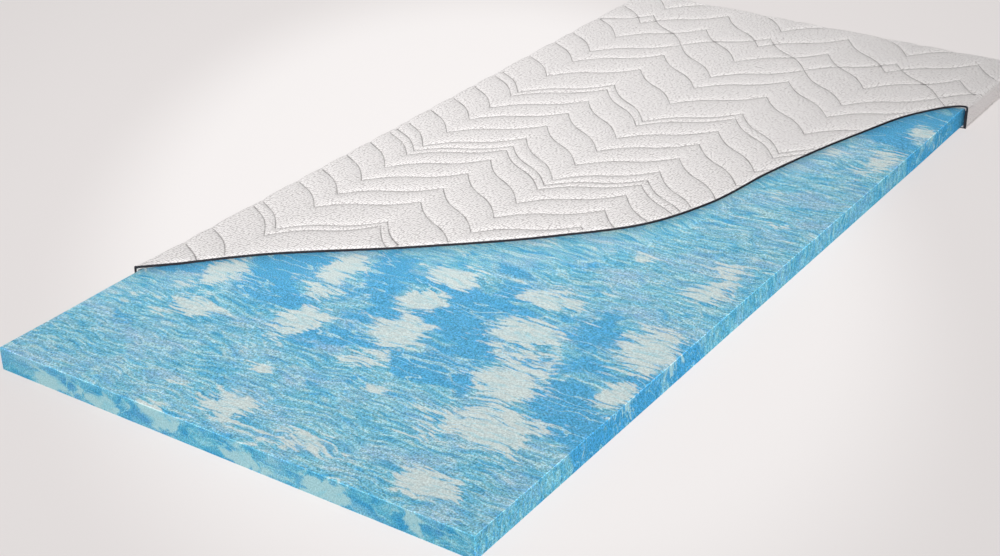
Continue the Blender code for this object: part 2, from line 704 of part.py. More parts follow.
def slider(parent, finish):
    """Slider body: two plates, side flanges, the divider between them and the crown on top."""
    plate = prism(plate_outline(), on_slider, PLATE_DEPTH, PLATE_DEPTH + SLIDER_PLATE)
    body = add_object("zip_slider", *plate, finish, parent)
    park = CHAIN_END - SLIDER_PARK_GAP - SLIDER_LENGTH / 2
    body.location = (-HALF_WIDTH, park, ZIP_HEIGHT)
    start = PLATE_DEPTH + SLIDER_PLATE / 2
    flange_end = TAPE_DEPTH - SLIDER_RUNNING_GAP
    inner_end = INNER_PLATE_DEPTH + SLIDER_PLATE
    divider_end = INNER_PLATE_DEPTH + SLIDER_PLATE / 2
    tools = (
        ("slider_flange_upper", flange_outline(1), on_slider, start, flange_end),
        ("slider_flange_lower", flange_outline(-1), on_slider, start, flange_end),
        ("slider_inner_plate", plate_outline(), on_slider, INNER_PLATE_DEPTH, inner_end),
        ("slider_divider", divider_outline(), on_slider, start, divider_end),
        ("slider_crown", crown_outline(), across_slider, -CROWN_WIDTH / 2, CROWN_WIDTH / 2),
    )
    for name, outline, place, low, high in tools:
        tool = add_object(name, *prism(outline, place, low, high), None, body)
        combine(body, tool, "UNION")
    shade_round(body)
    return body


def rounded_end(centre, half_width, facing):
    """Half circle round one end of a strip along Y; facing is the way that the end points."""
    turns = [math.pi / 2 - math.pi * j / PULLER_ROUND_STEPS for j in range(PULLER_ROUND_STEPS + 1)]
    return [(centre + facing * half_width * math.cos(a), -facing * half_width * math.sin(a))
            for a in turns]


def puller(body, finish):
    """Pull tab on a cross bar under the crown; it turns about an upright axis."""
    neck, tab = PULLER_NECK_WIDTH / 2, PULLER_TAB_WIDTH / 2
    bar, half = PULLER_CROSSBAR / 2, PULLER_THICKNESS / 2
    eye_end = -bar - PULLER_EYE_LENGTH
    shoulder = eye_end - PULLER_CROSSBAR
    waist = shoulder - PULLER_CROSSBAR
    outline = [(bar, -neck), (bar, neck), (shoulder, neck), (waist, tab)]
    outline += rounded_end(-PULLER_LENGTH + tab, tab, -1)
    outline += [(waist, -tab), (shoulder, -neck)]
    item = add_object("zip_puller", *prism(outline, on_slider, -half, half), finish, body)
    item.location = (PLATE_DEPTH - CROWN_TUNNEL / 2, 0.0, 0.0)
    eye = rectangle(-bar, eye_end, -PULLER_EYE_WIDTH / 2, PULLER_EYE_WIDTH / 2)
    slot = PULLER_SLOT_WIDTH / 2
    slot_far = -PULLER_LENGTH + PULLER_SLOT_END + slot
    grip = rounded_end(slot_far, slot, -1) + rounded_end(slot_far + PULLER_SLOT_LENGTH, slot, 1)
    reach = half + TOOL_OVERRUN
    for name, hole in (("puller_eye", eye), ("puller_grip_slot", grip)):
        tool = add_object(name, *prism(hole, on_slider, -reach, reach), None, item)
        combine(item, tool, "DIFFERENCE")
    soften(item, PULLER_EDGE_RADIUS, 1)
    shade_round(item)


def main():
    """Builds the topper, its middle over the world origin and its underside at height zero."""
    clear_scene()
    foam = material("polyurethane foam", (0.10, 0.40, 0.66), 0.9)
    knit = material("polyester knit", (0.76, 0.74, 0.73), 0.85)
    fleece = material("polyester wadding", (0.86, 0.86, 0.85), 0.95)
    web = material("spunbond backing", (0.80, 0.80, 0.80), 0.9)
    edging = material("dark edging tape", (0.02, 0.02, 0.02), 0.8)
    ribbon = material("woven zip tape", (0.72, 0.71, 0.70), 0.85)
    nylon = material("nylon zip coil", (0.78, 0.77, 0.76), 0.45)
    zinc = material("lacquered zinc", (0.66, 0.66, 0.66), 0.35, 0.9)
    origin = bpy.data.objects.new("topper_origin", None)
    bpy.context.scene.collection.objects.link(origin)
    origin.location = (0.0, -COVER_BACK / 2, 0.0)
    foam_core(origin, foam)
    top_panel(origin, knit, fleece, web)
    underside_panel(origin, knit)
    borders(origin, knit)
    binding(origin, edging)
    zip_side(origin, 1, "upper", ribbon, nylon, zinc)
    zip_side(origin, -1, "lower", ribbon, nylon, zinc)
    body = slider(origin, zinc)
    puller(body, zinc)
    bpy.context.view_layer.update()


main()
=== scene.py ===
"""Dressed scene of a foam mattress topper in a quilted, zipped cover, cut back to bare the foam.

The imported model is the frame. Every soft piece of it is made again here in full: the marbled foam
slab, the three layers of the quilted top with their stitches, the padded walls, the underside, the
binding along the cut and the two halves of the zip. Lengths are in metres. Inside the classes Y
runs from the slab's bare end; a finished piece is moved to the frame's own Y as its mesh is made.
"""

import logging
import math
from collections.abc import Callable, Sequence
from dataclasses import dataclass, field
from enum import Enum
from functools import partial
from typing import Any

import bmesh
import bpy
import numpy as np
from mathutils import Matrix, Vector, noise
from mathutils.geometry import delaunay_2d_cdt


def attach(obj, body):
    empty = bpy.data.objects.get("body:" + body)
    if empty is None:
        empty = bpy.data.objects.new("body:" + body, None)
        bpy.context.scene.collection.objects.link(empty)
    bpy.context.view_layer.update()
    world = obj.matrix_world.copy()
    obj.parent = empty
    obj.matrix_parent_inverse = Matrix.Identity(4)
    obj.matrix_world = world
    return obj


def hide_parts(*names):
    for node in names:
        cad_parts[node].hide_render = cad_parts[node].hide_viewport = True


LOG = logging.getLogger("topper")
MM = 0.001
MERGE_DISTANCE = 0.001 * MM
# Least length that is divided by, and places of the points over a rounded edge
TINY = 1e-9
EDGE_SHARES = np.array((0.0, 0.35, 0.7))
EASED = {"interpolation_type": "SMOOTHSTEP"}

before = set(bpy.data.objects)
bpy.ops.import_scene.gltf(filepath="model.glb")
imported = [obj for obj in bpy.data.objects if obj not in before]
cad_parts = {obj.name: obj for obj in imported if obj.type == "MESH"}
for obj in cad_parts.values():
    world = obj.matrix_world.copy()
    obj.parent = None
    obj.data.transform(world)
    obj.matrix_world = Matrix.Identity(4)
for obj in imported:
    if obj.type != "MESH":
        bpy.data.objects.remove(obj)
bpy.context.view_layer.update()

Triple = tuple[float, float, float]
Point = Triple
PlanPoint = tuple[float, float]
Span = tuple[float, float]
Face = tuple[int, ...]
Piece = bpy.types.Object
Material = bpy.types.Material
Node = bpy.types.Node
Adder = Callable[..., Node]


class Slot(Enum):
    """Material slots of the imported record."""

    FOAM = "gel_foam"
    KNIT = "cover_knit"
    WADDING = "wadding"
    BACKING = "backing_web"
    UNDERSIDE = "underside_knit"
    BORDER = "border_knit"
    BINDING = "edge_binding"
    TAPE = "zip_tape"
    COIL = "zip_coil"


class Side(Enum):
    """Which half of the zip a piece belongs to, as a sign along Z."""

    UPPER = 1
    LOWER = -1


@dataclass(frozen=True)
class TopperSizes:
    """Sizes that the sub-assemblies share.

    They are the same as in the part's source, but for two that shape the panel near the cut: the
    squeezed hem fades out over hem_fade towards the walls, and corner_power squares the roll.
    """

    core_half_width: float = 450 * MM
    core_length: float = 2000 * MM
    core_bottom: float = 1.8 * MM
    core_top: float = 41.8 * MM
    clearance: float = 0.3 * MM
    face_thickness: float = 0.8 * MM
    wadding_thickness: float = 4.1 * MM
    panel_thickness: float = 6.1 * MM
    panel_top: float = 48.2 * MM
    hem_depth: float = 2.9 * MM
    hem_fade: float = 45 * MM
    corner_power: float = 5.0
    roll_radius: float = 10 * MM
    border_thickness: float = 5 * MM
    underside_thickness: float = 1.5 * MM

    @property
    def half_width(self) -> float:
        """Half of the cover's width."""
        return self.core_half_width + self.roll_radius

    @property
    def wall_inner(self) -> float:
        """Distance of the walls' inner faces from the middle."""
        return self.half_width - self.border_thickness

    @property
    def cover_back(self) -> float:
        """Place of the cover's back face along Y."""
        return self.core_length + self.roll_radius

    @property
    def roll_z(self) -> float:
        """Height at which the rolled edge of the top meets the walls."""
        return self.panel_top - self.roll_radius

    @property
    def border_top(self) -> float:
        """Height of the walls' top edges."""
        return self.roll_z - self.clearance

    def back_corner(self, radius: float, turns: np.ndarray) -> np.ndarray:
        """Returns plan points round the right back corner, at the given angles from +X."""
        return np.column_stack([self.core_half_width + radius * np.cos(turns),
                                self.core_length + radius * np.sin(turns)])


TOPPER = TopperSizes()


# Colours, node trees and meshes


def linear(colour: str) -> tuple[float, float, float, float]:
    """Turns an sRGB hex colour into a linear one.

    Args:
        colour: hex value such as "#4FA3D1".

    Returns:
        Red, green, blue and an alpha of 1.
    """
    parts = (int(colour[i:i + 2], 16) / 255 for i in (1, 3, 5))
    return (*(c / 12.92 if c <= 0.04045 else ((c + 0.055) / 1.055) ** 2.4 for c in parts), 1.0)


def feed(node: Node, *values: Any, **named: Any) -> None:
    """Gives a node's inputs their values and links.

    Args:
        node: the node.
        *values: for the inputs that it shows, in order, a value, a hex colour, or the node or
            output that feeds the input.
        **named: the same by input name, with underscores for spaces.
    """
    shown = [socket for socket in node.inputs if socket.enabled]
    chosen = [(node.inputs[name.replace("_", " ")], value) for name, value in named.items()]
    for socket, value in [*zip(shown, values), *chosen]:
        if isinstance(value, Node):
            value = next(output for output in value.outputs if output.enabled)
        if isinstance(value, bpy.types.NodeSocket):
            node.id_data.links.new(value, socket)
        elif isinstance(value, str) and value.startswith("#"):
            socket.default_value = linear(value)
        else:
            socket.default_value = value


def add_node(tree: bpy.types.NodeTree, kind: str, *values: Any, stops: tuple = (),
             **named: Any) -> Node:
    """Adds a node with its settings, its values and its links.

    Args:
        tree: tree that gets the node.
        kind: the node's type, of which "ShaderNode" may be left out, and after a space its
            operation or data type.
        *values: what feeds the inputs that it shows, in order.
        stops: places and hex colours of a colour ramp.
        **named: the node's own settings, in small letters, and inputs, with a capital.

    Returns:
        The new node.
    """
    kind, *choice = kind.split()
    node = tree.nodes.new(kind if "Node" in kind else f"ShaderNode{kind}")
    settings = {name: value for name, value in named.items() if name[0].islower()}
    for word in choice:
        settings["operation" if hasattr(node, "operation") else "data_type"] = word
    for name, value in settings.items():
        setattr(node, name, value)
    if stops:
        ramp = node.color_ramp.elements
        for element, (place, colour) in ((ramp[0], stops[0]), (ramp[-1], stops[-1])):
            element.position, element.color = place, linear(colour)
        for place, colour in stops[1:-1]:
            ramp.new(place).color = linear(colour)
    feed(node, *values, **{name: named[name] for name in named if name not in settings})
    return node


def new_material(name: str, **inputs: Any) -> tuple[Material, Node, Adder]:
    """Starts a material with a principled shader.

    Args:
        name: the real material that it stands for.
        **inputs: values of the shader's inputs, with underscores for spaces.

    Returns:
        The material, its shader, and add_node for its tree.
    """
    material = bpy.data.materials.new(name)
    material.use_nodes = True
    shader = material.node_tree.nodes["Principled BSDF"]
    feed(shader, **inputs)
    return material, shader, partial(add_node, material.node_tree)


def new_shape_tree(name: str, values: dict[str, float | int]) -> tuple[
        bpy.types.NodeTree, Adder, bpy.types.NodeOutputs]:
    """Starts a Geometry Nodes tree with a mesh in, a mesh out and named inputs.

    Args:
        name: the tree's name.
        values: the numbers that it takes, by input name; it takes a mesh and a finish too.

    Returns:
        The tree, add_node for it, and its inputs' sockets.
    """
    tree = bpy.data.node_groups.new(name, "GeometryNodeTree")
    kinds = {key: "Int" if isinstance(value, int) else "Float" for key, value in values.items()}
    for key, kind in {"Mesh": "Geometry", **kinds, "Finish": "Material"}.items():
        tree.interface.new_socket(name=key, in_out="INPUT", socket_type=f"NodeSocket{kind}")
    tree.interface.new_socket(name="Result", in_out="OUTPUT", socket_type="NodeSocketGeometry")
    add = partial(add_node, tree)
    return tree, add, add("NodeGroupInput").outputs


def close_tree(add: Adder, geometry: Node, finish: bpy.types.NodeSocket) -> None:
    """Ends a Geometry Nodes tree: instances made real, the finish set, the result put out."""
    real = add("GeometryNodeRealizeInstances", geometry)
    add("NodeGroupOutput", Result=add("GeometryNodeSetMaterial", real, Material=finish))


def run_tree(piece: Piece, tree: bpy.types.NodeTree, values: dict[str, Any]) -> None:
    """Runs a Geometry Nodes tree on a piece and keeps the result as its plain mesh.

    Args:
        piece: object whose mesh the tree starts from.
        tree: the Geometry Nodes tree.
        values: the tree's inputs by name.
    """
    modifier = piece.modifiers.new(tree.name, "NODES")
    modifier.node_group = tree
    for item in tree.interface.items_tree:
        if item.in_out == "INPUT" and item.name in values:
            modifier[item.identifier] = values[item.name]
    depsgraph = bpy.context.evaluated_depsgraph_get()
    made = bpy.data.meshes.new_from_object(piece.evaluated_get(depsgraph),
                                           preserve_all_data_layers=True, depsgraph=depsgraph)
    piece.modifiers.remove(modifier)
    old, piece.data = piece.data, made
    bpy.data.meshes.remove(old)
    made.name = piece.name


def new_object(name: str, data: bpy.types.ID) -> Piece:
    """Makes an object and puts it in the scene.

    Args:
        name: its name.
        data: its mesh, lamp or camera.

    Returns:
        The object.
    """
    made = bpy.data.objects.new(name, data)
    bpy.context.scene.collection.objects.link(made)
    return made


def chain(points: list[np.ndarray], edges: list[Face], line: np.ndarray) -> None:
    """Adds a line to a growing set of points and edges.

    Args:
        points: list that gets the line's points.
        edges: list that gets the edges between them.
        line: the line's points, in order.
    """
    first = len(points)
    edges += [(first + i, first + i + 1) for i in range(len(line) - 1)]
    points += [*line]


def quarter_turn(steps: int) -> np.ndarray:
    """Returns the angles from 0 to a right angle in even steps."""
    return np.linspace(0.0, math.pi / 2, steps + 1)


def mirrored(points: np.ndarray) -> np.ndarray:
    """Returns plan points moved to the other side of the middle, in reverse order."""
    return points[::-1] * (-1, 1)


def beside(*places: float | np.ndarray) -> np.ndarray:
    """Returns points from their places along each axis, of which some are the same for all."""
    return np.column_stack(np.broadcast_arrays(*places))


def add_piece(name: str, vertices: np.ndarray, faces: list[Face],
              finish: Material | None = None, edges: Sequence[Face] = (),
              values: dict[str, np.ndarray] | None = None,
              cloth: np.ndarray | None = None) -> Piece:
    """Makes an object at the origin whose place is in its mesh.

    Args:
        name: the object's name.
        vertices: points with Y from the slab's bare end.
        faces: point numbers of each face.
        finish: its material.
        edges: loose edges, for a piece that starts as lines.
        values: numbers kept at the points, by attribute name.
        cloth: places of the points on the flat cloth, in metres, kept as a UV map.

    Returns:
        The object, linked to the scene.
    """
    mesh = bpy.data.meshes.new(name)
    moved = np.asarray(vertices, dtype=float) - (0.0, TOPPER.cover_back / 2, 0.0)
    mesh.from_pydata(moved.tolist(), list(edges), faces)
    if cloth is not None:
        layer = mesh.uv_layers.new(name="cloth")
        corners = np.empty(len(mesh.loops), dtype=np.int32)
        mesh.loops.foreach_get("vertex_index", corners)
        layer.data.foreach_set("uv", np.asarray(cloth, dtype=np.float32)[corners].ravel())
    for key, numbers in (values or {}).items():
        mesh.attributes.new(key, "FLOAT", "POINT").data.foreach_set(
            "value", np.asarray(numbers, dtype=np.float32))
    if finish is not None:
        mesh.materials.append(finish)
    return new_object(name, mesh)


def close_shape(piece: Piece, sharp_degrees: float = 40.0) -> None:
    """Merges doubles, points the faces outwards and shades the round parts smooth.

    Args:
        piece: closed piece to finish.
        sharp_degrees: angle between two faces past which their edge stays sharp.
    """
    shape = bmesh.new()
    shape.from_mesh(piece.data)
    bmesh.ops.remove_doubles(shape, verts=shape.verts, dist=MERGE_DISTANCE)
    bmesh.ops.recalc_face_normals(shape, faces=shape.faces)
    shape.to_mesh(piece.data)
    shape.free()
    piece.data.shade_smooth()
    piece.data.set_sharp_from_angle(angle=math.radians(sharp_degrees))


def dress(piece: Piece, nodes: tuple[str, ...] = (),
          body: str = "topper") -> None:
    """Puts a finished piece on its body, hides the frame's nodes that it stands for and logs them.

    Args:
        piece: the piece.
        nodes: nodes of the frame that it is shown in place of.
        body: the body that it rides on.
    """
    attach(piece, body)
    if nodes:
        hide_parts(*nodes)
    LOG.info("%s: %d faces, rides on %s, stands for %s", piece.name, len(piece.data.polygons),
             body, ", ".join(nodes) or "no node")


def skin_of_box(xs: np.ndarray, ys: np.ndarray, zs: np.ndarray) -> tuple[np.ndarray, list[Face]]:
    """Skin of a box divided at the given places.

    Args:
        xs, ys, zs: places along each axis, lowest first.

    Returns:
        Vertices and quads.
    """
    number: dict[Face, int] = {}
    sizes = (len(xs), len(ys), len(zs))
    faces = []
    for axis in range(3):
        first, second = [other for other in range(3) if other != axis]
        for end in (0, sizes[axis] - 1):
            for i in range(sizes[first] - 1):
                for j in range(sizes[second] - 1):
                    face = []
                    for di, dj in ((0, 0), (1, 0), (1, 1), (0, 1)):
                        key = [0, 0, 0]
                        key[axis], key[first], key[second] = end, i + di, j + dj
                        face.append(number.setdefault(tuple(key), len(number)))
                    faces.append(tuple(face))
    keys = np.array(list(number))
    return np.column_stack([xs[keys[:, 0]], ys[keys[:, 1]], zs[keys[:, 2]]]), faces


def round_box(points: np.ndarray, low: Point, high: Point, radius: float) -> np.ndarray:
    """Moves the skin points of a box so that its edges and corners are round.

    Args:
        points: points on the box's skin.
        low, high: opposite corners of the box.
        radius: radius of its edges.

    Returns:
        The moved points.
    """
    core = np.clip(points, np.array(low) + radius, np.array(high) - radius)
    out = points - core
    length = np.linalg.norm(out, axis=1)[:, None]
    return core + out * radius / np.maximum(length, TINY)


def edged_steps(low: float, high: float, radius: float, step: float) -> np.ndarray:
    """Places along one axis of a box with rounded edges.

    Args:
        low, high: where the box begins and ends.
        radius: radius of its edges, over which the places are close together.
        step: distance between the other places.

    Returns:
        The places, lowest first.
    """
    inner = np.linspace(low + radius, high - radius, max(1, round((high - low) / step)) + 1)
    ends = EDGE_SHARES * radius
    return np.concatenate((low + ends, inner, (high - ends)[::-1]))


def sweep(sections: list[np.ndarray], looped: bool) -> tuple[np.ndarray, list[Face], np.ndarray]:
    """Skin through closed sections that have the same number of points.

    Args:
        sections: points round each section.
        looped: whether the last section joins the first; otherwise both ends are capped.

    Returns:
        Vertices, faces, and each point's place round and along the skin, in metres.
    """
    size, count = len(sections[0]), len(sections)
    steps = [np.linalg.norm(ahead - here, axis=1).mean()
             for here, ahead in zip(sections, sections[1:])]
    along = np.concatenate(([0.0], np.cumsum(steps)))
    faces = []
    for i in range(count if looped else count - 1):
        here, ahead = i * size, (i + 1) % count * size
        faces += [(here + j, here + (j + 1) % size, ahead + (j + 1) % size, ahead + j)
                  for j in range(size)]
    if not looped:
        faces += [tuple(range(size)), tuple(range((count - 1) * size, count * size))]
    cloth = []
    for place, section in zip(along, sections):
        gaps = np.linalg.norm(np.diff(section, axis=0), axis=1)
        around = np.concatenate(([0.0], np.cumsum(gaps)))
        cloth.append(np.column_stack([around, np.full(size, place)]))
    return np.concatenate(sections), faces, np.concatenate(cloth)


def stitches_along(add: Adder, given: bpy.types.NodeOutputs, lines: Node) -> Node:
    """Adds the nodes that put a thread's stitches along lines.

    Args:
        add: adds a node to the tree.
        given: the tree's inputs, with the stitch's pitch, length and thickness.
        lines: mesh of the lines.

    Returns:
        The stitches, as instances.
    """
    curve = add("GeometryNodeMeshToCurve", lines)
    spaced = add("GeometryNodeResampleCurve", curve, Length=given["Stitch Pitch"], mode="LENGTH")
    grain = add("GeometryNodeMeshIcoSphere", Radius=0.5, Subdivisions=1)
    turned = add("FunctionNodeAlignEulerToVector", Vector=add("GeometryNodeInputTangent"),
                 axis="X")
    thickness = given["Stitch Thickness"]
    size = add("CombineXYZ", given["Stitch Length"], thickness, thickness)
    return add("GeometryNodeInstanceOnPoints", spaced,
               Instance=add("GeometryNodeSetShadeSmooth", grain), Rotation=turned, Scale=size)


def stitch_lines(name: str, lines: list[np.ndarray], finish: Material, pitch: float,
                 length: float, thickness: float = 0.5 * MM) -> Piece:
    """Makes stitches along given lines.

    Args:
        name: the piece's name.
        lines: points of each line, with Y from the slab's bare end.
        finish: the thread's material.
        pitch, length, thickness: sizes of the stitches.

    Returns:
        The stitches' object.
    """
    sizes = {"Stitch Pitch": pitch, "Stitch Length": length, "Stitch Thickness": thickness}
    tree, add, given = new_shape_tree(f"{name} tree", sizes)
    close_tree(add, stitches_along(add, given, given["Mesh"]), given["Finish"])
    points, edges = [], []
    for line in lines:
        chain(points, edges, line)
    piece = add_piece(name, np.array(points), [], edges=edges)
    run_tree(piece, tree, sizes | {"Finish": finish})
    return piece


# Finishes


@dataclass(frozen=True)
class MarbledFoam:
    """Open-cell polyurethane foam poured in blue and cream, then sawn flat.

    The pour draws the colours out into ragged streaks across the slab, with calm blue patches and
    thin pale threads between them. The sawn cells give a fine sparkle and no gloss at all; they
    are drawn coarser than they are, so that they still show. Light and shade are painted in by the
    way each face points: the sides and ends are tinted bluer, the long sides made a little lighter
    and the ends darker. A shadow is painted on the foam close under the cover's cut edge.
    Each span is where a noise begins and ends to count.
    """

    blue: str = "#4CA3CC"
    turquoise: str = "#78BDD3"
    pale: str = "#B0D5DB"
    lilac: str = "#B4C2DA"
    calm_blue: str = "#50A6D3"
    cream: str = "#D2DDDB"
    side_shade_tint: str = "#D1F6FF"
    streak: Triple = (42 * MM, 7 * MM, 20 * MM)
    patch: Triple = (95 * MM, 52 * MM, 55 * MM)
    thread: Triple = (230 * MM, 30 * MM, 60 * MM)
    curl: float = 90 * MM
    bend: Triple = (100 * MM, 45 * MM, 40 * MM)
    grain: float = 2.3 * MM
    wave_stops: Triple = (0.34, 0.50, 0.66)
    lilac_span: Span = (0.45, 0.70)
    lilac_most: float = 0.4
    calm_raggedness: float = 0.27
    calm_span: Span = (0.60, 0.70)
    calm_most: float = 0.9
    thread_span: Span = (0.003, 0.013)
    thread_most: float = 0.75
    cream_patch: float = 2.0
    cream_fray: float = 2.1
    cream_span: Span = (2.46, 2.80)
    cream_most: float = 0.92
    wisp_span: Span = (0.34, 0.52)
    grain_span: Span = (0.25, 0.75)
    sparkle: Span = (0.50, 1.50)
    cream_sparkle: Span = (0.78, 1.22)
    hue_swing: Triple = (0.5, 0.35, 0.3)
    side_light: float = 1.08
    end_shade: float = 0.72
    cover_shadow_tone: float = 0.68

    def pattern(self, add: Adder, place: Node, size: Triple, detail: float,
                roughness: float) -> Node:
        """Adds a noise drawn out to the given sizes along X, Y and Z.

        Args:
            add: adds a node to the material.
            place: the place that it is drawn over.
            size: length of its patches each way.
            detail, roughness: octaves of the noise, and the share of each finer one.

        Returns:
            The noise's node.
        """
        drawn = add("VectorMath MULTIPLY", place, tuple(1 / length for length in size))
        return add("TexNoise", drawn, 1.0, detail, roughness, Distortion=0.35)

    def make(self) -> Material:
        """Makes the material.

        Returns:
            The material; it reads the slab's cream and calm numbers and its painted shadow under
            the cover.
        """
        material, shader, add = new_material("marbled polyurethane foam", Roughness=0.95,
                                             Specular_IOR_Level=0.2)
        cream, calm, cover_shadow = (add("Attribute", attribute_name=name).outputs["Fac"]
                                for name in ("cream", "calm", "cover_shadow"))
        place = add("TexCoord").outputs["Object"]
        curls = add("TexNoise", place, 1 / self.curl, Detail=3.0).outputs["Color"]
        centred = add("VectorMath SUBTRACT", curls, (0.5, 0.5, 0.5))
        bent = add("VectorMath MULTIPLY_ADD", centred, self.bend, place)
        streaks = self.pattern(add, bent, self.streak, detail=4.0, roughness=0.58)
        patches = self.pattern(add, bent, self.patch, detail=4.0, roughness=0.6).outputs["Color"]
        patches = add("SeparateColor", patches).outputs
        threads = self.pattern(add, bent, self.thread, detail=2.0, roughness=0.4)
        grain = add("TexNoise", place, 1 / self.grain, Detail=1.0)

        waves = add("ValToRGB", streaks,
                    stops=tuple(zip(self.wave_stops, (self.blue, self.turquoise, self.pale))))
        greyer = add("MapRange", patches["Blue"], *self.lilac_span, 0.0, self.lilac_most)
        base = add("Mix RGBA", greyer, waves, self.lilac)
        calmer = add("Math MULTIPLY_ADD", calm, self.calm_raggedness, patches["Red"])
        calmed = add("MapRange", calmer, *self.calm_span, 0.0, self.calm_most, **EASED)
        blued = add("Mix RGBA", calmed, base, self.calm_blue)
        away = add("Math ABSOLUTE", add("Math SUBTRACT", threads, 0.5))
        thin = add("MapRange", away, *self.thread_span, self.thread_most, 0.0, **EASED)
        threaded = add("Mix RGBA", thin, blued, self.pale)
        sparkle = add("MapRange", grain, *self.grain_span, *self.sparkle)
        hues = add("VectorMath MULTIPLY_ADD", grain.outputs["Color"], self.hue_swing,
                   tuple(1 - swing / 2 for swing in self.hue_swing))
        tinted = add("VectorMath MULTIPLY", add("VectorMath SCALE", threaded, sparkle), hues)

        ragged = add("Math MULTIPLY_ADD", patches["Green"], self.cream_patch, cream)
        frayed = add("Math MULTIPLY_ADD", streaks, self.cream_fray, ragged)
        share = add("MapRange", frayed, *self.cream_span, 0.0, self.cream_most, **EASED)
        wisps = add("MapRange", streaks, *self.wisp_span)
        dimmer = add("MapRange", grain, *self.grain_span, *self.cream_sparkle)
        milky = add("VectorMath SCALE", add("Mix RGBA", wisps, self.pale, self.cream), dimmer)
        creamed = add("Mix RGBA", share, tinted, milky)

        # Painted light and shade by the way each face points: sides and ends tinted bluer, long
        # sides lighter, ends darker
        facing = add("VectorMath ABSOLUTE", add("NewGeometry").outputs["True Normal"])
        level = add("VectorMath DOT_PRODUCT", facing, (self.side_light, self.end_shade, 1.0))
        upward = add("SeparateXYZ", facing).outputs["Z"]
        side_shade = add("Mix RGBA", upward, self.side_shade_tint, "#FFFFFF")
        side_shaded = add("VectorMath MULTIPLY", creamed, side_shade)
        # Painted shadow on the foam close under the cover's cut edge
        cover_shadow_dim = add("MapRange", cover_shadow, 0.0, 1.0, 1.0, self.cover_shadow_tone, **EASED)
        light_and_shade = add("VectorMath SCALE", side_shaded, add("Math MULTIPLY", level, cover_shadow_dim))
        feed(shader, Base_Color=light_and_shade,
             Normal=add("Bump", Strength=0.5, Distance=0.5 * MM, Height=grain))
        return material


@dataclass(frozen=True)
class Knit:
    """Brushed polyester knit: matt, with small raised loops and shaded hollows between them.

    The loops give the eye a grainy tooth that fades with distance. They are drawn coarser than
    real ones, as small as they still show, in slightly wavering rows. Where the cloth is quilted,
    shade is painted into the narrow folds at the seams, darker in some places than others by the
    noise that wavers the rows. The wavering, its reach, the fuzz and the distance between the rows
    are counted in loops.
    """

    name: str
    colour: str = "#F1EEED"
    hollow: str = "#AFA9A9"
    loop: float = 4.2 * MM
    relief: float = 0.5 * MM
    shaded_creases: bool = False
    crease_shade_width: float = 2.4 * MM
    crease_shade_tones: Span = (0.35, 0.75)
    hollow_span: Span = (-0.34, 0.08)
    crease_noise_span: Span = (0.35, 0.65)
    waver_size: float = 9.0
    waver: float = 3.0
    rows_to_loops: float = 0.7
    unevenness: float = 0.45
    fuzz_size: float = 0.6
    fuzz_height: float = 0.55
    loop_height: float = 0.8

    def make(self) -> Material:
        """Makes the material.

        Returns:
            The material; it reads the piece's own cloth map.
        """
        material, shader, add = new_material(self.name, Roughness=0.9, Sheen_Weight=0.08,
                                             Sheen_Roughness=0.5, Specular_IOR_Level=0.2)
        cloth = add("UVMap", uv_map="cloth")
        wobble = add("TexNoise", cloth, 1 / (self.waver_size * self.loop), Detail=2.0)
        reach = self.waver * self.loop
        uneven = add("VectorMath MULTIPLY_ADD", wobble.outputs["Color"], (reach, reach, 0.0),
                     cloth)
        counted = add("VectorMath MULTIPLY", uneven,
                      (1 / self.loop, self.rows_to_loops / self.loop, 0.0))
        stitches = add("TexVoronoi", counted, Scale=1.0, Randomness=self.unevenness,
                       voronoi_dimensions="2D")
        fuzz = add("TexNoise", cloth, 1 / (self.fuzz_size * self.loop), Detail=2.0)
        height = add("Math MULTIPLY_ADD", stitches, -self.loop_height,
                     add("Math MULTIPLY", fuzz, self.fuzz_height))
        share = add("MapRange", height, *self.hollow_span)
        shade = add("Mix RGBA", share, self.hollow, self.colour)
        # Painted shade in the narrow folds at the quilting seams
        if self.shaded_creases:
            seam = add("Attribute", attribute_name="seam").outputs["Fac"]
            crease_shade_floor = add("MapRange", wobble, *self.crease_noise_span, *self.crease_shade_tones)
            crease_shade = add("MapRange", seam, 0.0, self.crease_shade_width, crease_shade_floor, 1.0, **EASED)
            shade = add("VectorMath SCALE", shade, crease_shade)
        feed(shader, Base_Color=shade,
             Normal=add("Bump", Strength=0.7, Distance=self.relief, Height=height))
        return material


@dataclass(frozen=True)
class WovenTape:
    """Plain-woven tape: a fine grid of threads, drawn at a width that still shows close up.

    It looks matt and even, with a faint slanting rib. The fuzz is sized in threads.
    """

    name: str
    light: str
    dark: str
    thread: float = 0.9 * MM
    slant: float = 0.35
    thread_height: float = 0.25
    fuzz_size: float = 1.5

    def make(self) -> Material:
        """Makes the material.

        Returns:
            The material; it reads the place on the piece.
        """
        material, shader, add = new_material(self.name, Roughness=0.8, Specular_IOR_Level=0.25)
        place = add("TexCoord").outputs["Object"]
        turn = 2 * math.pi / self.thread
        waves = [add("Math SINE", add("VectorMath DOT_PRODUCT", place, way))
                 for way in ((0.0, turn, self.slant * turn), (turn, 0.0, turn))]
        fuzz = add("TexNoise", place, 1 / (self.fuzz_size * self.thread), Detail=2.0)
        height = add("Math MULTIPLY_ADD", add("Math ADD", *waves), self.thread_height, fuzz)
        shade = add("Mix RGBA", height, self.dark, self.light)
        feed(shader, Base_Color=shade,
             Normal=add("Bump", Strength=0.6, Distance=0.15 * MM, Height=height))
        return material


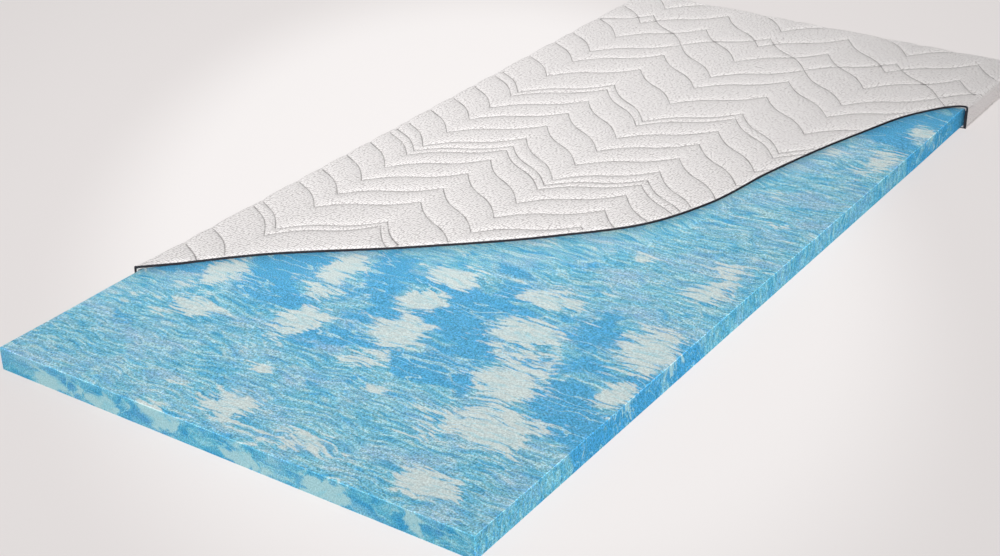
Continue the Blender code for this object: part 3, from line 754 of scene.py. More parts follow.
@dataclass(frozen=True)
class Fibre:
    """Matt fibrous stuff, such as wadding, spunbond web or sewing thread: a soft uneven surface."""

    name: str
    light: str
    dark: str
    strand: float = 0.5 * MM

    def make(self) -> Material:
        """Makes the material.

        Returns:
            The material; it reads the place on the piece.
        """
        material, shader, add = new_material(self.name, Roughness=0.9, Specular_IOR_Level=0.2)
        place = add("TexCoord").outputs["Object"]
        strands = add("TexNoise", place, 1 / self.strand, Detail=3.0, Distortion=1.5)
        shade = add("Mix RGBA", strands, self.dark, self.light)
        feed(shader, Base_Color=shade,
             Normal=add("Bump", Strength=0.5, Distance=0.2 * MM, Height=strands))
        return material


@dataclass(frozen=True)
class NylonCoil:
    """Extruded nylon filament: smooth and milky, with a soft highlight on each turn."""

    colour: str = "#E2DFDD"
    dull: str = "#D2CECC"
    patch: float = 6 * MM

    def make(self) -> Material:
        """Makes the material.

        Returns:
            The material.
        """
        material, shader, add = new_material("nylon zip coil", Roughness=0.4)
        uneven = add("TexNoise", add("TexCoord").outputs["Object"], 1 / self.patch, Detail=2.0)
        feed(shader, Base_Color=add("Mix RGBA", uneven, self.dull, self.colour))
        return material


@dataclass(frozen=True)
class LacqueredZinc:
    """Die-cast zinc alloy under clear lacquer: a soft grey shine with rubbed, duller flats."""

    bright: str = "#C9C9C8"
    rubbed: str = "#A9A9A8"
    patch: float = 1.4 * MM
    roughness: Span = (0.22, 0.48)

    def make(self) -> Material:
        """Makes the material.

        Returns:
            The material; its roughness varies from cast skin to rubbed places.
        """
        material, shader, add = new_material("lacquered zinc alloy", Metallic=0.9,
                                             Coat_Weight=0.3, Coat_Roughness=0.15)
        cast = add("TexNoise", add("TexCoord").outputs["Object"], 1 / self.patch, Detail=4.0)
        feed(shader, Base_Color=add("Mix RGBA", cast, self.rubbed, self.bright),
             Roughness=add("MapRange", cast, 0.0, 1.0, *self.roughness),
             Normal=add("Bump", Strength=0.4, Distance=0.03 * MM, Height=cast))
        return material


# The cut and the quilting, which other classes follow


@dataclass(frozen=True)
class CutLine:
    """S-shaped line along which the cover is cut back.

    Its knots are shares of half the cover's width and of the slab's length.
    """

    shares: tuple[PlanPoint, ...] = (
        (-1.000, 0.1495), (-0.689, 0.2265), (-0.257, 0.3065), (0.161, 0.3945),
        (0.391, 0.4570), (0.502, 0.5210), (0.567, 0.6095), (0.709, 0.7395),
        (0.833, 0.8200), (0.920, 0.8490), (0.963, 0.8560), (1.000, 0.8575),
    )
    knot_steps: int = 12
    step: float = 8 * MM
    roll_steps: int = 6
    curve: np.ndarray = field(init=False, repr=False)

    def __post_init__(self) -> None:
        """Works out the smooth curve through the knots."""
        sizes = (TOPPER.half_width, TOPPER.core_length)
        knots = np.array(self.shares) * sizes
        along = self.length_along(knots)
        slopes = np.gradient(knots, along, axis=0)
        points = []
        for i in range(len(knots) - 1):
            span = along[i + 1] - along[i]
            for t in np.arange(self.knot_steps) / self.knot_steps:
                start = (1 + 2 * t) * (1 - t) ** 2 * knots[i] + t * (1 - t) ** 2 * span * slopes[i]
                end = (t * t * (3 - 2 * t) * knots[i + 1]
                       + t * t * (t - 1) * span * slopes[i + 1])
                points.append(start + end)
        points.append(knots[-1])
        object.__setattr__(self, "curve", np.array(points))

    @staticmethod
    def length_along(points: np.ndarray) -> np.ndarray:
        """Returns the running length at each point of a line."""
        return np.concatenate(([0.0], np.cumsum(np.hypot(*np.diff(points, axis=0).T))))

    def y(self, x: float | np.ndarray) -> float | np.ndarray:
        """Returns where the cut crosses the cover at x; it runs square through the walls."""
        inside = np.clip(x, -TOPPER.wall_inner, TOPPER.wall_inner)
        return np.interp(inside, self.curve[:, 0], self.curve[:, 1])

    @property
    def ends(self) -> Span:
        """Where the cut crosses the left and the right wall, along Y."""
        return float(self.y(-TOPPER.half_width)), float(self.y(TOPPER.half_width))

    def roll_offsets(self) -> np.ndarray:
        """Returns how far out from the flat top the rolled edge has its lines, in plan."""
        return TOPPER.roll_radius * np.sin(quarter_turn(self.roll_steps))

    def points(self) -> np.ndarray:
        """Lays out the cut over the top and both of its rolled edges.

        Returns:
            Plan points, from the left wall to the right wall.
        """
        edge = TOPPER.core_half_width
        inner = self.curve[np.abs(self.curve[:, 0]) < edge]
        line = np.array([(-edge, self.y(-edge)), *inner, (edge, self.y(edge))])
        along = self.length_along(line)
        marks = np.linspace(0.0, along[-1], round(along[-1] / self.step) + 1)
        flat = np.column_stack([np.interp(marks, along, line[:, axis]) for axis in (0, 1)])
        rolled = edge + self.roll_offsets()[1:]
        left = np.column_stack([-rolled, self.y(-rolled)])[::-1]
        return np.concatenate((left, flat, np.column_stack([rolled, self.y(rolled)])))

    def normals(self, points: np.ndarray) -> np.ndarray:
        """Directions out of the cut: square to it, and straight along the walls.

        Args:
            points: plan points along the cut.

        Returns:
            A direction in plan at each of them.
        """
        along = np.gradient(points, axis=0)
        out = np.column_stack([along[:, 1], -along[:, 0]])
        out /= np.linalg.norm(out, axis=1)[:, None]
        reach = np.abs(points[:, 0]) - TOPPER.core_half_width
        turned = np.clip(reach / TOPPER.roll_radius, 0.0, 1.0)[:, None]
        out = (1 - turned) * out + turned * np.array([0.0, -1.0])
        return out / np.linalg.norm(out, axis=1)[:, None]

    def distance(self, spots: np.ndarray) -> np.ndarray:
        """Returns how far plan points lie from the cut."""
        line = self.points()
        return np.array([np.hypot(*(line - spot).T).min() for spot in spots])


@dataclass(frozen=True)
class Quilting:
    """Chevron rows of the quilting: S-shaped legs between valleys and peaks.

    Each row has its place, counted in spacings from the first row, and its height as a share of
    leg_height. Two wide rows, whose legs are twice as long, cross each other near the far end.
    """

    half_pitch: float = 149 * MM
    valley_x: float = -57 * MM
    first_row: float = 340 * MM
    spacing: float = 76 * MM
    leg_height: float = 126 * MM
    leg_bend: float = 0.42
    wide_row: float = 16.46
    wide_height: float = 2.23
    wide_reach: int = 2
    shares: tuple[PlanPoint, ...] = (
        (0.00, 1.02), (0.92, 1.02), (2.26, 1.10), (2.65, 1.02), (4.05, 0.95), (4.91, 0.98),
        (5.84, 1.04), (6.77, 1.07), (7.68, 0.95), (7.98, 0.95), (8.35, 1.09), (9.39, 1.05),
        (10.41, 1.06), (11.37, 1.09), (12.37, 1.08), (12.70, 1.12), (14.16, 1.09),
        (15.50, 1.09), (17.88, 1.20), (19.34, 1.17), (20.86, 1.19),
    )

    @property
    def slope(self) -> float:
        """Distance from a leg as a share of the distance along Y."""
        return math.cos(math.atan2(self.leg_height, self.half_pitch))

    def leg(self, share: np.ndarray) -> np.ndarray:
        """Returns the height share along a leg: steep at its ends, flatter in the middle."""
        return share + self.leg_bend / (2 * math.pi) * np.sin(2 * math.pi * share)

    def chevron(self, x: np.ndarray, valley: float, height: float, reach: int = 1,
                shift: int = 0) -> np.ndarray:
        """Places along the topper of one quilting row.

        Args:
            x: places across the topper.
            valley: the row's place at its valley.
            height: height of its legs.
            reach: length of a leg in half pitches.
            shift: how many half pitches the row is moved across.

        Returns:
            The row's Y at each x.
        """
        turn, share = np.divmod(((x - self.valley_x) / self.half_pitch - shift) / reach, 1.0)
        rising = turn.astype(int) % 2 == 0
        step, rest = np.divmod(np.where(rising, share, 1.0 - share) * reach, 1.0)
        return valley + height * (step + self.leg(rest)) / reach

    def rows(self, x: np.ndarray) -> np.ndarray:
        """Places along the topper of all the quilting rows.

        Args:
            x: places across the topper.

        Returns:
            The Y of each row at each x, one line of the array for each row.
        """
        shares = list(self.shares)
        while self.first_row + self.spacing * shares[-1][0] < TOPPER.cover_back:
            shares.append((shares[-1][0] + 1.0, shares[-1][1]))
        made = [self.chevron(x, self.first_row + self.spacing * place, self.leg_height * height)
                for place, height in shares]
        valley = self.first_row + self.spacing * self.wide_row
        height = self.leg_height * self.wide_height
        made += [self.chevron(x, valley, height, self.wide_reach, shift)
                 for shift in (0, self.wide_reach)]
        return np.array(made)

    def stations(self, step: float) -> np.ndarray:
        """Places across the topper, with one on each valley and peak.

        Args:
            step: about how far apart they are.

        Returns:
            The places, from left to right.
        """
        each = self.half_pitch / round(self.half_pitch / step)
        first = math.floor((-TOPPER.half_width - self.valley_x) / each) - 1
        last = math.ceil((TOPPER.half_width - self.valley_x) / each) + 1
        return self.valley_x + each * np.arange(first, last + 1)

    def seam_distance(self, spots: np.ndarray) -> np.ndarray:
        """Returns how far plan points lie from the nearest row."""
        return self.slope * np.abs(self.rows(spots[:, 0]) - spots[:, 1]).min(axis=0)


# Sub-assemblies


@dataclass
class FoamSlab:
    """Marbled foam slab, sawn flat, which sags onto the floor where no underside carries it.

    Each swirl is a place where the pale foam shows in the pour, on the slab laid open flat: its X
    and Y, half width and half length in mm, and its strength.
    """

    cut: CutLine
    edge_radius: float = 1.2 * MM
    step: float = 10 * MM
    sag: float = 1.5 * MM
    sag_start: float = 40 * MM
    sag_length: float = 180 * MM
    waviness: float = 0.25 * MM
    wave_length: float = 120 * MM
    shade_width: float = 24 * MM
    swirls: tuple[tuple[float, ...], ...] = (
        (-330, 370, 25, 55, 0.9), (-295, 265, 45, 30, 1.0), (-160, 495, 30, 65, 1.0),
        (-115, 320, 35, 50, 1.0), (0, 565, 45, 25, 1.0), (10, 475, 35, 40, 1.0),
        (45, 370, 45, 45, 1.0), (200, 595, 50, 40, 0.9), (210, 480, 50, 40, 1.0),
        (275, 345, 50, 70, 1.0), (315, 220, 65, 50, 1.0), (390, 785, 30, 75, 0.8),
        (405, 525, 40, 75, 1.0), (425, 395, 25, 45, 1.0), (-50, 65, 50, 35, 0.8),
        (110, 50, 50, 30, 0.8), (325, 60, 55, 30, 1.0), (-60, 170, 20, 10, 1.0),
        (115, 220, 15, 10, 1.0), (240, 795, 20, 15, 0.7), (375, 1030, 25, 10, 0.7),
        (425, 1555, 25, 35, 1.0), (320, 1385, 20, 25, 0.7), (417, 1385, 28, 65, 0.8),
        (-330, -20, 30, 15, 1.0), (-225, -28, 35, 12, 1.0), (-110, -12, 45, 25, 0.9),
        (50, -30, 30, 14, 1.0), (-145, 410, 30, 45, 0.6), (55, 295, 35, 35, 0.6),
        (355, 190, 30, 25, 0.7), (245, 425, 40, 40, 0.7), (195, -26, 40, 16, 1.0),
        (340, -15, 30, 15, 0.8),
    )
    swirl_spread: PlanPoint = (1.24, 1.16)
    swirl_boost: float = 1.15
    calm_low: float = 260 * MM
    calm_slant: float = 0.12
    calm_rise: float = 60 * MM
    calm_high: float = 660 * MM
    calm_fall: float = 120 * MM
    calm_end: float = 1380 * MM
    calm_end_rise: float = 100 * MM

    def cream(self, u: np.ndarray, v: np.ndarray) -> np.ndarray:
        """How much pale foam shows on the slab laid open flat.

        Args:
            u, v: places across and along it.

        Returns:
            A number at each place, about 0 where none shows.
        """
        across, along = self.swirl_spread
        total = np.zeros(len(u))
        for *shape, strength in self.swirls:
            x, y, half_width, half_length = np.array(shape) * MM
            reach = ((u - x) / (across * half_width)) ** 2 + ((v - y) / (along * half_length)) ** 2
            total = np.maximum(total, self.swirl_boost * strength * np.exp(-reach))
        return total

    def calm(self, u: np.ndarray, v: np.ndarray) -> np.ndarray:
        """How calm and blue the pour is on the slab laid open flat.

        Args:
            u, v: places across and along it.

        Returns:
            A number from 0 to 1 at each place.
        """
        rise = np.clip((v + self.calm_slant * u - self.calm_low) / self.calm_rise, 0, 1)
        fall = np.clip((self.calm_high - v) / self.calm_fall, 0, 1)
        return rise * fall + np.clip((v - self.calm_end) / self.calm_end_rise, 0, 1)

    def build(self) -> None:
        """Makes the slab and dresses it."""
        low = (-TOPPER.core_half_width, 0.0, TOPPER.core_bottom)
        high = (TOPPER.core_half_width, TOPPER.core_length, TOPPER.core_top)
        places = [edged_steps(start, end, self.edge_radius, self.step)
                  for start, end in zip(low, high)]
        points, faces = skin_of_box(*places)
        points = round_box(points, low, high, self.edge_radius)
        x, y = points[:, 0], points[:, 1]
        drop = TOPPER.core_top - points[:, 2]
        on_side = np.abs(x) > TOPPER.core_half_width - self.edge_radius
        u = x + np.where(on_side, np.sign(x) * drop, 0.0)
        v = y - np.where(y < self.edge_radius, drop, 0.0)
        cream = self.cream(u, v)
        bare = y < self.cut.y(x)
        # Painted shadow of the cover's cut edge: 1 under the cover, fading out over the bare foam
        cover_shadow = np.where(bare, -self.cut.distance(points[:, :2]), 0.0) / self.shade_width
        share = np.clip((self.cut.y(x) - self.sag_start - y) / self.sag_length, 0.0, 1.0)
        wave = np.array([noise.noise(Vector(point) / self.wave_length) for point in points])
        points[:, 2] -= self.sag * share * share * (3 - 2 * share)
        points[:, 2] -= self.waviness * (0.5 + 0.5 * wave) * (drop < self.edge_radius)
        slab = add_piece("marbled_foam_slab", points, faces, MarbledFoam().make(),
                         values={"cream": cream, "cover_shadow": np.exp(cover_shadow),
                                 "calm": self.calm(u, v) * (1 - np.minimum(cream, 1))})
        close_shape(slab)
        dress(slab, ("foam_core",))


@dataclass
class PanelPlan:
    """Top panel laid out in plan: its points, its triangles and its outline's point numbers."""

    points: np.ndarray
    triangles: list[Face]
    outline: list[int]


@dataclass
class QuiltedTop:
    """Knitted face, wadding and backing, rolled over the walls and drawn together by quilting."""

    cut: CutLine
    quilting: Quilting
    depth: float = 3.2 * MM
    puff_width: float = 9 * MM
    lip_width: float = 5 * MM
    corner_reach: float = 12 * MM
    crumple: float = 0.5 * MM
    crumple_width: float = 28 * MM
    edge_step: float = 9 * MM
    corner_steps: int = 3
    fine_step: float = 7 * MM
    coarse_step: float = 25 * MM
    fine_offsets: tuple[float, ...] = (2.5 * MM, 6 * MM, 11 * MM, 19 * MM, 32 * MM)
    coarse_offsets: tuple[float, ...] = (12 * MM, 30 * MM)
    own_share: float = 0.93
    hem_offsets: tuple[float, ...] = (2 * MM, 5 * MM, 9 * MM)
    hem_gap: float = 4 * MM
    run_margin: float = 2.1 * MM
    row_inset: float = 2 * MM
    corner_inset: float = 3 * MM
    stitch_pitch: float = 4.2 * MM
    stitch_length: float = 3.2 * MM
    stitch_thickness: float = 0.9 * MM
    stitch_lift: float = 0.1 * MM
    stitch_reach: float = 5 * MM

    def ring(self, offset: float, step: float) -> np.ndarray:
        """Lays out a line round the walls from cut to cut, outside the flat top.

        Args:
            offset: how far out from the flat top it runs.
            step: about how far apart its points are.

        Returns:
            Its plan points, from the right wall to the left wall.
        """
        edge, back = TOPPER.core_half_width, TOPPER.core_length
        side = edge + offset
        right, left = (np.linspace(start, back, round((back - start) / step))
                       for start in (self.cut.y(side), self.cut.y(-side)))
        across = np.linspace(edge, -edge, round(2 * edge / step) + 1)
        if offset > 0.0:
            steps = 1 + round(self.corner_steps * offset / TOPPER.roll_radius)
            arc = TOPPER.back_corner(offset, quarter_turn(steps)[1:-1])
        else:
            arc, across = np.empty((0, 2)), across[1:-1]
        return np.concatenate((beside(side, right), arc, beside(across, back + offset),
                               mirrored(arc), beside(-side, left[::-1])))

    def inside(self, spots: np.ndarray, margin: float, reach: float = 0.0) -> np.ndarray:
        """Returns which plan points lie on the top, clear of the cut by a margin.

        Args:
            spots: plan points.
            margin: least distance behind the cut.
            reach: how far out over the rolled edge they may lie.

        Returns:
            Whether each of them does.
        """
        x, y = spots[:, 0], spots[:, 1]
        return ((np.abs(x) < TOPPER.core_half_width + reach) & (y > self.cut.y(x) + margin)
                & (y < TOPPER.core_length + reach))

    def runs(self, step: float, reach: float) -> list[np.ndarray]:
        """Lays out the quilting rows, cut off at the panel's edges.

        Args:
            step: about how far apart their points are.
            reach: how far out over the rolled edge they go.

        Returns:
            The plan points of each unbroken run.
        """
        stations = self.quilting.stations(step)
        runs = []
        for row in self.quilting.rows(stations):
            spots = beside(stations, row)
            good = np.flatnonzero(self.inside(spots, self.run_margin, reach))
            for group in np.split(good, np.flatnonzero(np.diff(good) > 1) + 1):
                if len(group) > 1:
                    runs.append(spots[group])
        return runs

    def plan(self, step: float, offsets: tuple[float, ...], hems: tuple[float, ...]) -> PanelPlan:
        """Lays out the panel in plan with the lines of its roll, its hem and its quilting.

        Args:
            step: distance between the points along the rows.
            offsets: distances from the rows at which the puffs have their points.
            hems: distances from the cut at which the hem has its points.

        Returns:
            The plan.
        """
        cut = self.cut.points()
        rings = [self.ring(offset, max(self.edge_step, step))[1:-1]
                 for offset in self.cut.roll_offsets()]
        points = [*cut, *rings[-1]]
        outline = list(range(len(points)))
        edges = []
        for steps_in, ring in zip(range(self.cut.roll_steps, 0, -1), rings):
            first = len(points)
            chain(points, edges, ring)
            edges += [(len(cut) - 1 - steps_in, first), (first + len(ring) - 1, steps_in)]
        for run in self.runs(step, -self.row_inset):
            chain(points, edges, run)
        stations = self.quilting.stations(step)
        for row in self.quilting.rows(stations):
            for offset in offsets:
                for way in (-1, 1):
                    spots = beside(stations, row + way * offset / self.quilting.slope)
                    spots = spots[self.inside(spots, max(hems) + self.hem_gap, -self.row_inset)]
                    own = self.quilting.seam_distance(spots) > self.own_share * offset
                    points += [*spots[own]]
        flat = np.abs(cut[:, 0]) < TOPPER.core_half_width - self.corner_inset
        normals = self.cut.normals(cut)
        for hem in hems:
            spots = (cut - normals * hem)[flat]
            points += [*spots[self.inside(spots, 0.5 * hem, -self.row_inset)]]
        made = delaunay_2d_cdt([Vector(point) for point in points], edges, [outline], 0,
                               MERGE_DISTANCE, True)
        spots, _, triangles, sources, _, owners = made
        kept = [tuple(triangle) for triangle, owner in zip(triangles, owners) if owner]
        used = sorted({i for triangle in kept for i in triangle})
        number = {old: new for new, old in enumerate(used)}
        origin = {source: number[i] for i in used for source in sources[i]}
        return PanelPlan(np.array([tuple(spots[i]) for i in used]),
                         [tuple(number[i] for i in triangle) for triangle in kept],
                         [origin[i] for i in outline])

    def laid_flat(self, spots: np.ndarray) -> np.ndarray:
        """Places of plan points on the cloth before it was rolled over the walls.

        Args:
            spots: the plan points.

        Returns:
            The places, in metres.
        """
        flat = np.minimum(spots, (TOPPER.core_half_width, TOPPER.core_length))
        flat[:, 0] = np.maximum(flat[:, 0], -TOPPER.core_half_width)
        out = spots - flat
        length = np.hypot(*out.T)[:, None]
        arc = TOPPER.roll_radius * np.arcsin(np.minimum(1.0, length / TOPPER.roll_radius))
        return flat + out / np.maximum(length, TINY) * arc

    def sizes(self) -> dict[str, float]:
        """Numbers that the panel's trees take.

        Returns:
            The numbers by input name.
        """
        return {"Roll Radius": TOPPER.roll_radius, "Flat Half Width": TOPPER.core_half_width,
                "Flat Back": TOPPER.core_length - TOPPER.cover_back / 2,
                "Roll Height": TOPPER.roll_z, "Quilt Depth": self.depth,
                "Puff Width": self.puff_width, "Lip Depth": TOPPER.hem_depth,
                "Lip Width": self.lip_width, "Lip Fade": TOPPER.hem_fade,
                "Corner Power": TOPPER.corner_power, "Corner Reach": self.corner_reach,
                "Crumple": self.crumple, "Crumple Width": self.crumple_width,
                "Stitch Pitch": self.stitch_pitch, "Stitch Length": self.stitch_length,
                "Stitch Thickness": self.stitch_thickness}

    def tree(self, stitched: bool) -> bpy.types.NodeTree:
        """Geometry Nodes tree that rolls a plan over the walls and draws it down at the quilting.

        Args:
            stitched: whether the plan is lines, which then get stitches along them.

        Returns:
            The tree; its inputs are the sizes of the roll, the quilting, the hem and the stitch.
        """
        name = "stitches along the quilting" if stitched else "rolled quilted cloth"
        tree, add, given = new_shape_tree(name, self.sizes())
        drop, seam, hem, quilted = (add("GeometryNodeInputNamedAttribute FLOAT", key)
                                    for key in ("drop", "seam", "hem", "quilted"))
        roll, edge = given["Roll Radius"], given["Flat Half Width"]
        place = add("GeometryNodeInputPosition")
        spot = add("SeparateXYZ", place).outputs
        flat_x = add("Clamp", spot["X"], add("Math MULTIPLY", edge, -1.0), edge)
        flat = add("CombineXYZ", flat_x, add("Math MINIMUM", spot["Y"], given["Flat Back"]))
        plan = add("VectorMath MULTIPLY", place, (1.0, 1.0, 0.0))
        out = add("VectorMath SUBTRACT", plan, flat)

        # The roll's section is round far from the cut and squarer near it, where the hem holds it
        ratio = add("Math DIVIDE", add("VectorMath LENGTH", out), roll)
        near = add("Math DIVIDE", hem, given["Corner Reach"])
        held = add("Math POWER", math.e, add("Math MULTIPLY", near, -1.0))
        squarer = add("Math SUBTRACT", given["Corner Power"], 2.0)
        power = add("Math MULTIPLY_ADD", held, squarer, 2.0)
        rest = add("Math SUBTRACT", 1.0, add("Math POWER", ratio, power), use_clamp=True)
        rise = add("Math POWER", rest, add("Math DIVIDE", 1.0, power))

        # The cloth is drawn down at the seams and at the hem, and crumples a little between
        pulls = [add("Math DIVIDE", given[deep],
                     add("Math POWER", math.e, add("Math DIVIDE", near, given[wide])))
                 for near, wide, deep in ((seam, "Puff Width", "Quilt Depth"),
                                          (hem, "Lip Width", "Lip Depth"))]
        bumps = add("TexNoise", plan, add("Math DIVIDE", 1.0, given["Crumple Width"]), Detail=2.0)
        crumpled = add("Math MULTIPLY_ADD", bumps, given["Crumple"], pulls[0])
        inward = add("Math SUBTRACT", edge, add("Math ABSOLUTE", spot["X"]))
        eased = add("Math DIVIDE", inward, given["Lip Fade"], use_clamp=True)
        drawn = add("Math MAXIMUM", crumpled, add("Math MULTIPLY", pulls[1], eased))
        relief = add("Math MULTIPLY_ADD", drawn, add("Math MULTIPLY", rise, quilted), drop)

        radius = add("Math SUBTRACT", roll, relief)
        shift = add("VectorMath SCALE", out, add("Math DIVIDE", radius, roll))
        height = add("Math MULTIPLY_ADD", radius, rise, given["Roll Height"])
        rolled = add("VectorMath ADD", add("VectorMath ADD", flat, shift),
                     add("CombineXYZ", Z=height))
        shape = add("GeometryNodeSetPosition", given["Mesh"], Position=rolled)
        close_tree(add, stitches_along(add, given, shape) if stitched else shape,
                   given["Finish"])
        return tree

    def layer(self, name: str, plan: PanelPlan, drops: Span, quilted: Span, finish: Material,
              tree: bpy.types.NodeTree) -> Piece:
        """Makes one closed layer of the panel.

        Args:
            name: the piece's name.
            plan: the panel laid out in plan.
            drops: depths of its two faces below the panel's outer surface.
            quilted: how far each face follows the quilting, from 0 to 1.
            finish: its material.
            tree: the tree that rolls it over the walls.

        Returns:
            The layer's object.
        """
        count = len(plan.points)
        spots = np.tile(plan.points, (2, 1))
        faces = list(plan.triangles)
        faces += [tuple(count + i for i in reversed(triangle)) for triangle in plan.triangles]
        faces += [(ahead, here, count + here, count + ahead)
                  for here, ahead in zip(plan.outline, plan.outline[1:] + plan.outline[:1])]
        seam, hem = self.quilting.seam_distance(plan.points), self.cut.distance(plan.points)
        piece = add_piece(name, beside(*spots.T, 0.0), faces, finish,
                          values={"drop": np.repeat(drops, count), "seam": np.tile(seam, 2),
                                  "quilted": np.repeat(quilted, count), "hem": np.tile(hem, 2)},
                          cloth=self.laid_flat(spots))
        run_tree(piece, tree, self.sizes() | {"Finish": finish})
        close_shape(piece, 50.0)
        return piece

    def cloth_area(self, plan: PanelPlan) -> float:
        """Area of the panel's cloth laid flat.

        Args:
            plan: the panel laid out in plan.

        Returns:
            The area in square metres.
        """
        corners = self.laid_flat(plan.points)[np.array(plan.triangles)]
        first, second = corners[:, 1] - corners[:, 0], corners[:, 2] - corners[:, 0]
        return float(np.abs(first[:, 0] * second[:, 1] - first[:, 1] * second[:, 0]).sum() / 2)

    def stitches(self, finish: Material) -> Piece:
        """Makes the stitches along every row of the quilting.

        Args:
            finish: the thread's material.

        Returns:
            The stitches' object.
        """
        points, edges = [], []
        for run in self.runs(self.fine_step, self.stitch_reach):
            chain(points, edges, run)
        spots = np.array(points)
        values = {"drop": np.full(len(spots), -self.stitch_lift), "quilted": np.ones(len(spots)),
                  "seam": np.zeros(len(spots)), "hem": self.cut.distance(spots)}
        piece = add_piece("quilting_stitches", beside(*spots.T, 0.0), [],
                          edges=edges, values=values)
        run_tree(piece, self.tree(stitched=True), self.sizes() | {"Finish": finish})
        return piece

    def build(self, binding: Piece) -> None:
        """Makes the three layers and their stitches, and dresses them.

        Args:
            binding: the binding, which goes with the knitted face; not used.
        """
        fine = self.plan(self.fine_step, self.fine_offsets, self.hem_offsets)
        coarse = self.plan(self.coarse_step, self.coarse_offsets, self.hem_offsets[-1:])
        tree = self.tree(stitched=False)
        wadding_top = TOPPER.face_thickness + TOPPER.clearance
        wadding_bottom = wadding_top + TOPPER.wadding_thickness
        knit = Knit("brushed polyester knit, quilted", shaded_creases=True).make()
        fleece = Fibre("lofted polyester wadding", "#F2F1EF", "#DDDBD8", strand=1.6 * MM).make()
        web = Fibre("spunbond backing web", "#E8E8E7", "#CFCFCE", strand=0.8 * MM).make()
        # Real thread, coloured darker than the cover so that the seams show as dark dotted lines:
        # painted shade of the stitch holes
        thread = Fibre("polyester sewing thread", "#857F7F", "#5C5656").make()
        face = self.layer("quilted_face", fine, (0.0, TOPPER.face_thickness), (1.0, 1.0), knit,
                          tree)
        loft = self.layer("quilted_wadding", fine, (wadding_top, wadding_bottom), (1.0, 0.0),
                          fleece, tree)
        back = self.layer("backing_web", coarse,
                          (wadding_bottom + TOPPER.clearance, TOPPER.panel_thickness),
                          (0.0, 0.0), web, tree)
        stitches = self.stitches(thread)
        dress(face, ("top_face_knit",))
        dress(loft, ("top_wadding",))
        dress(back, ("top_backing",))
        dress(stitches)
        arc = TOPPER.roll_radius * math.pi / 2
        length = TOPPER.core_length + arc - self.cut.ends[0]
        area = self.cloth_area(coarse)


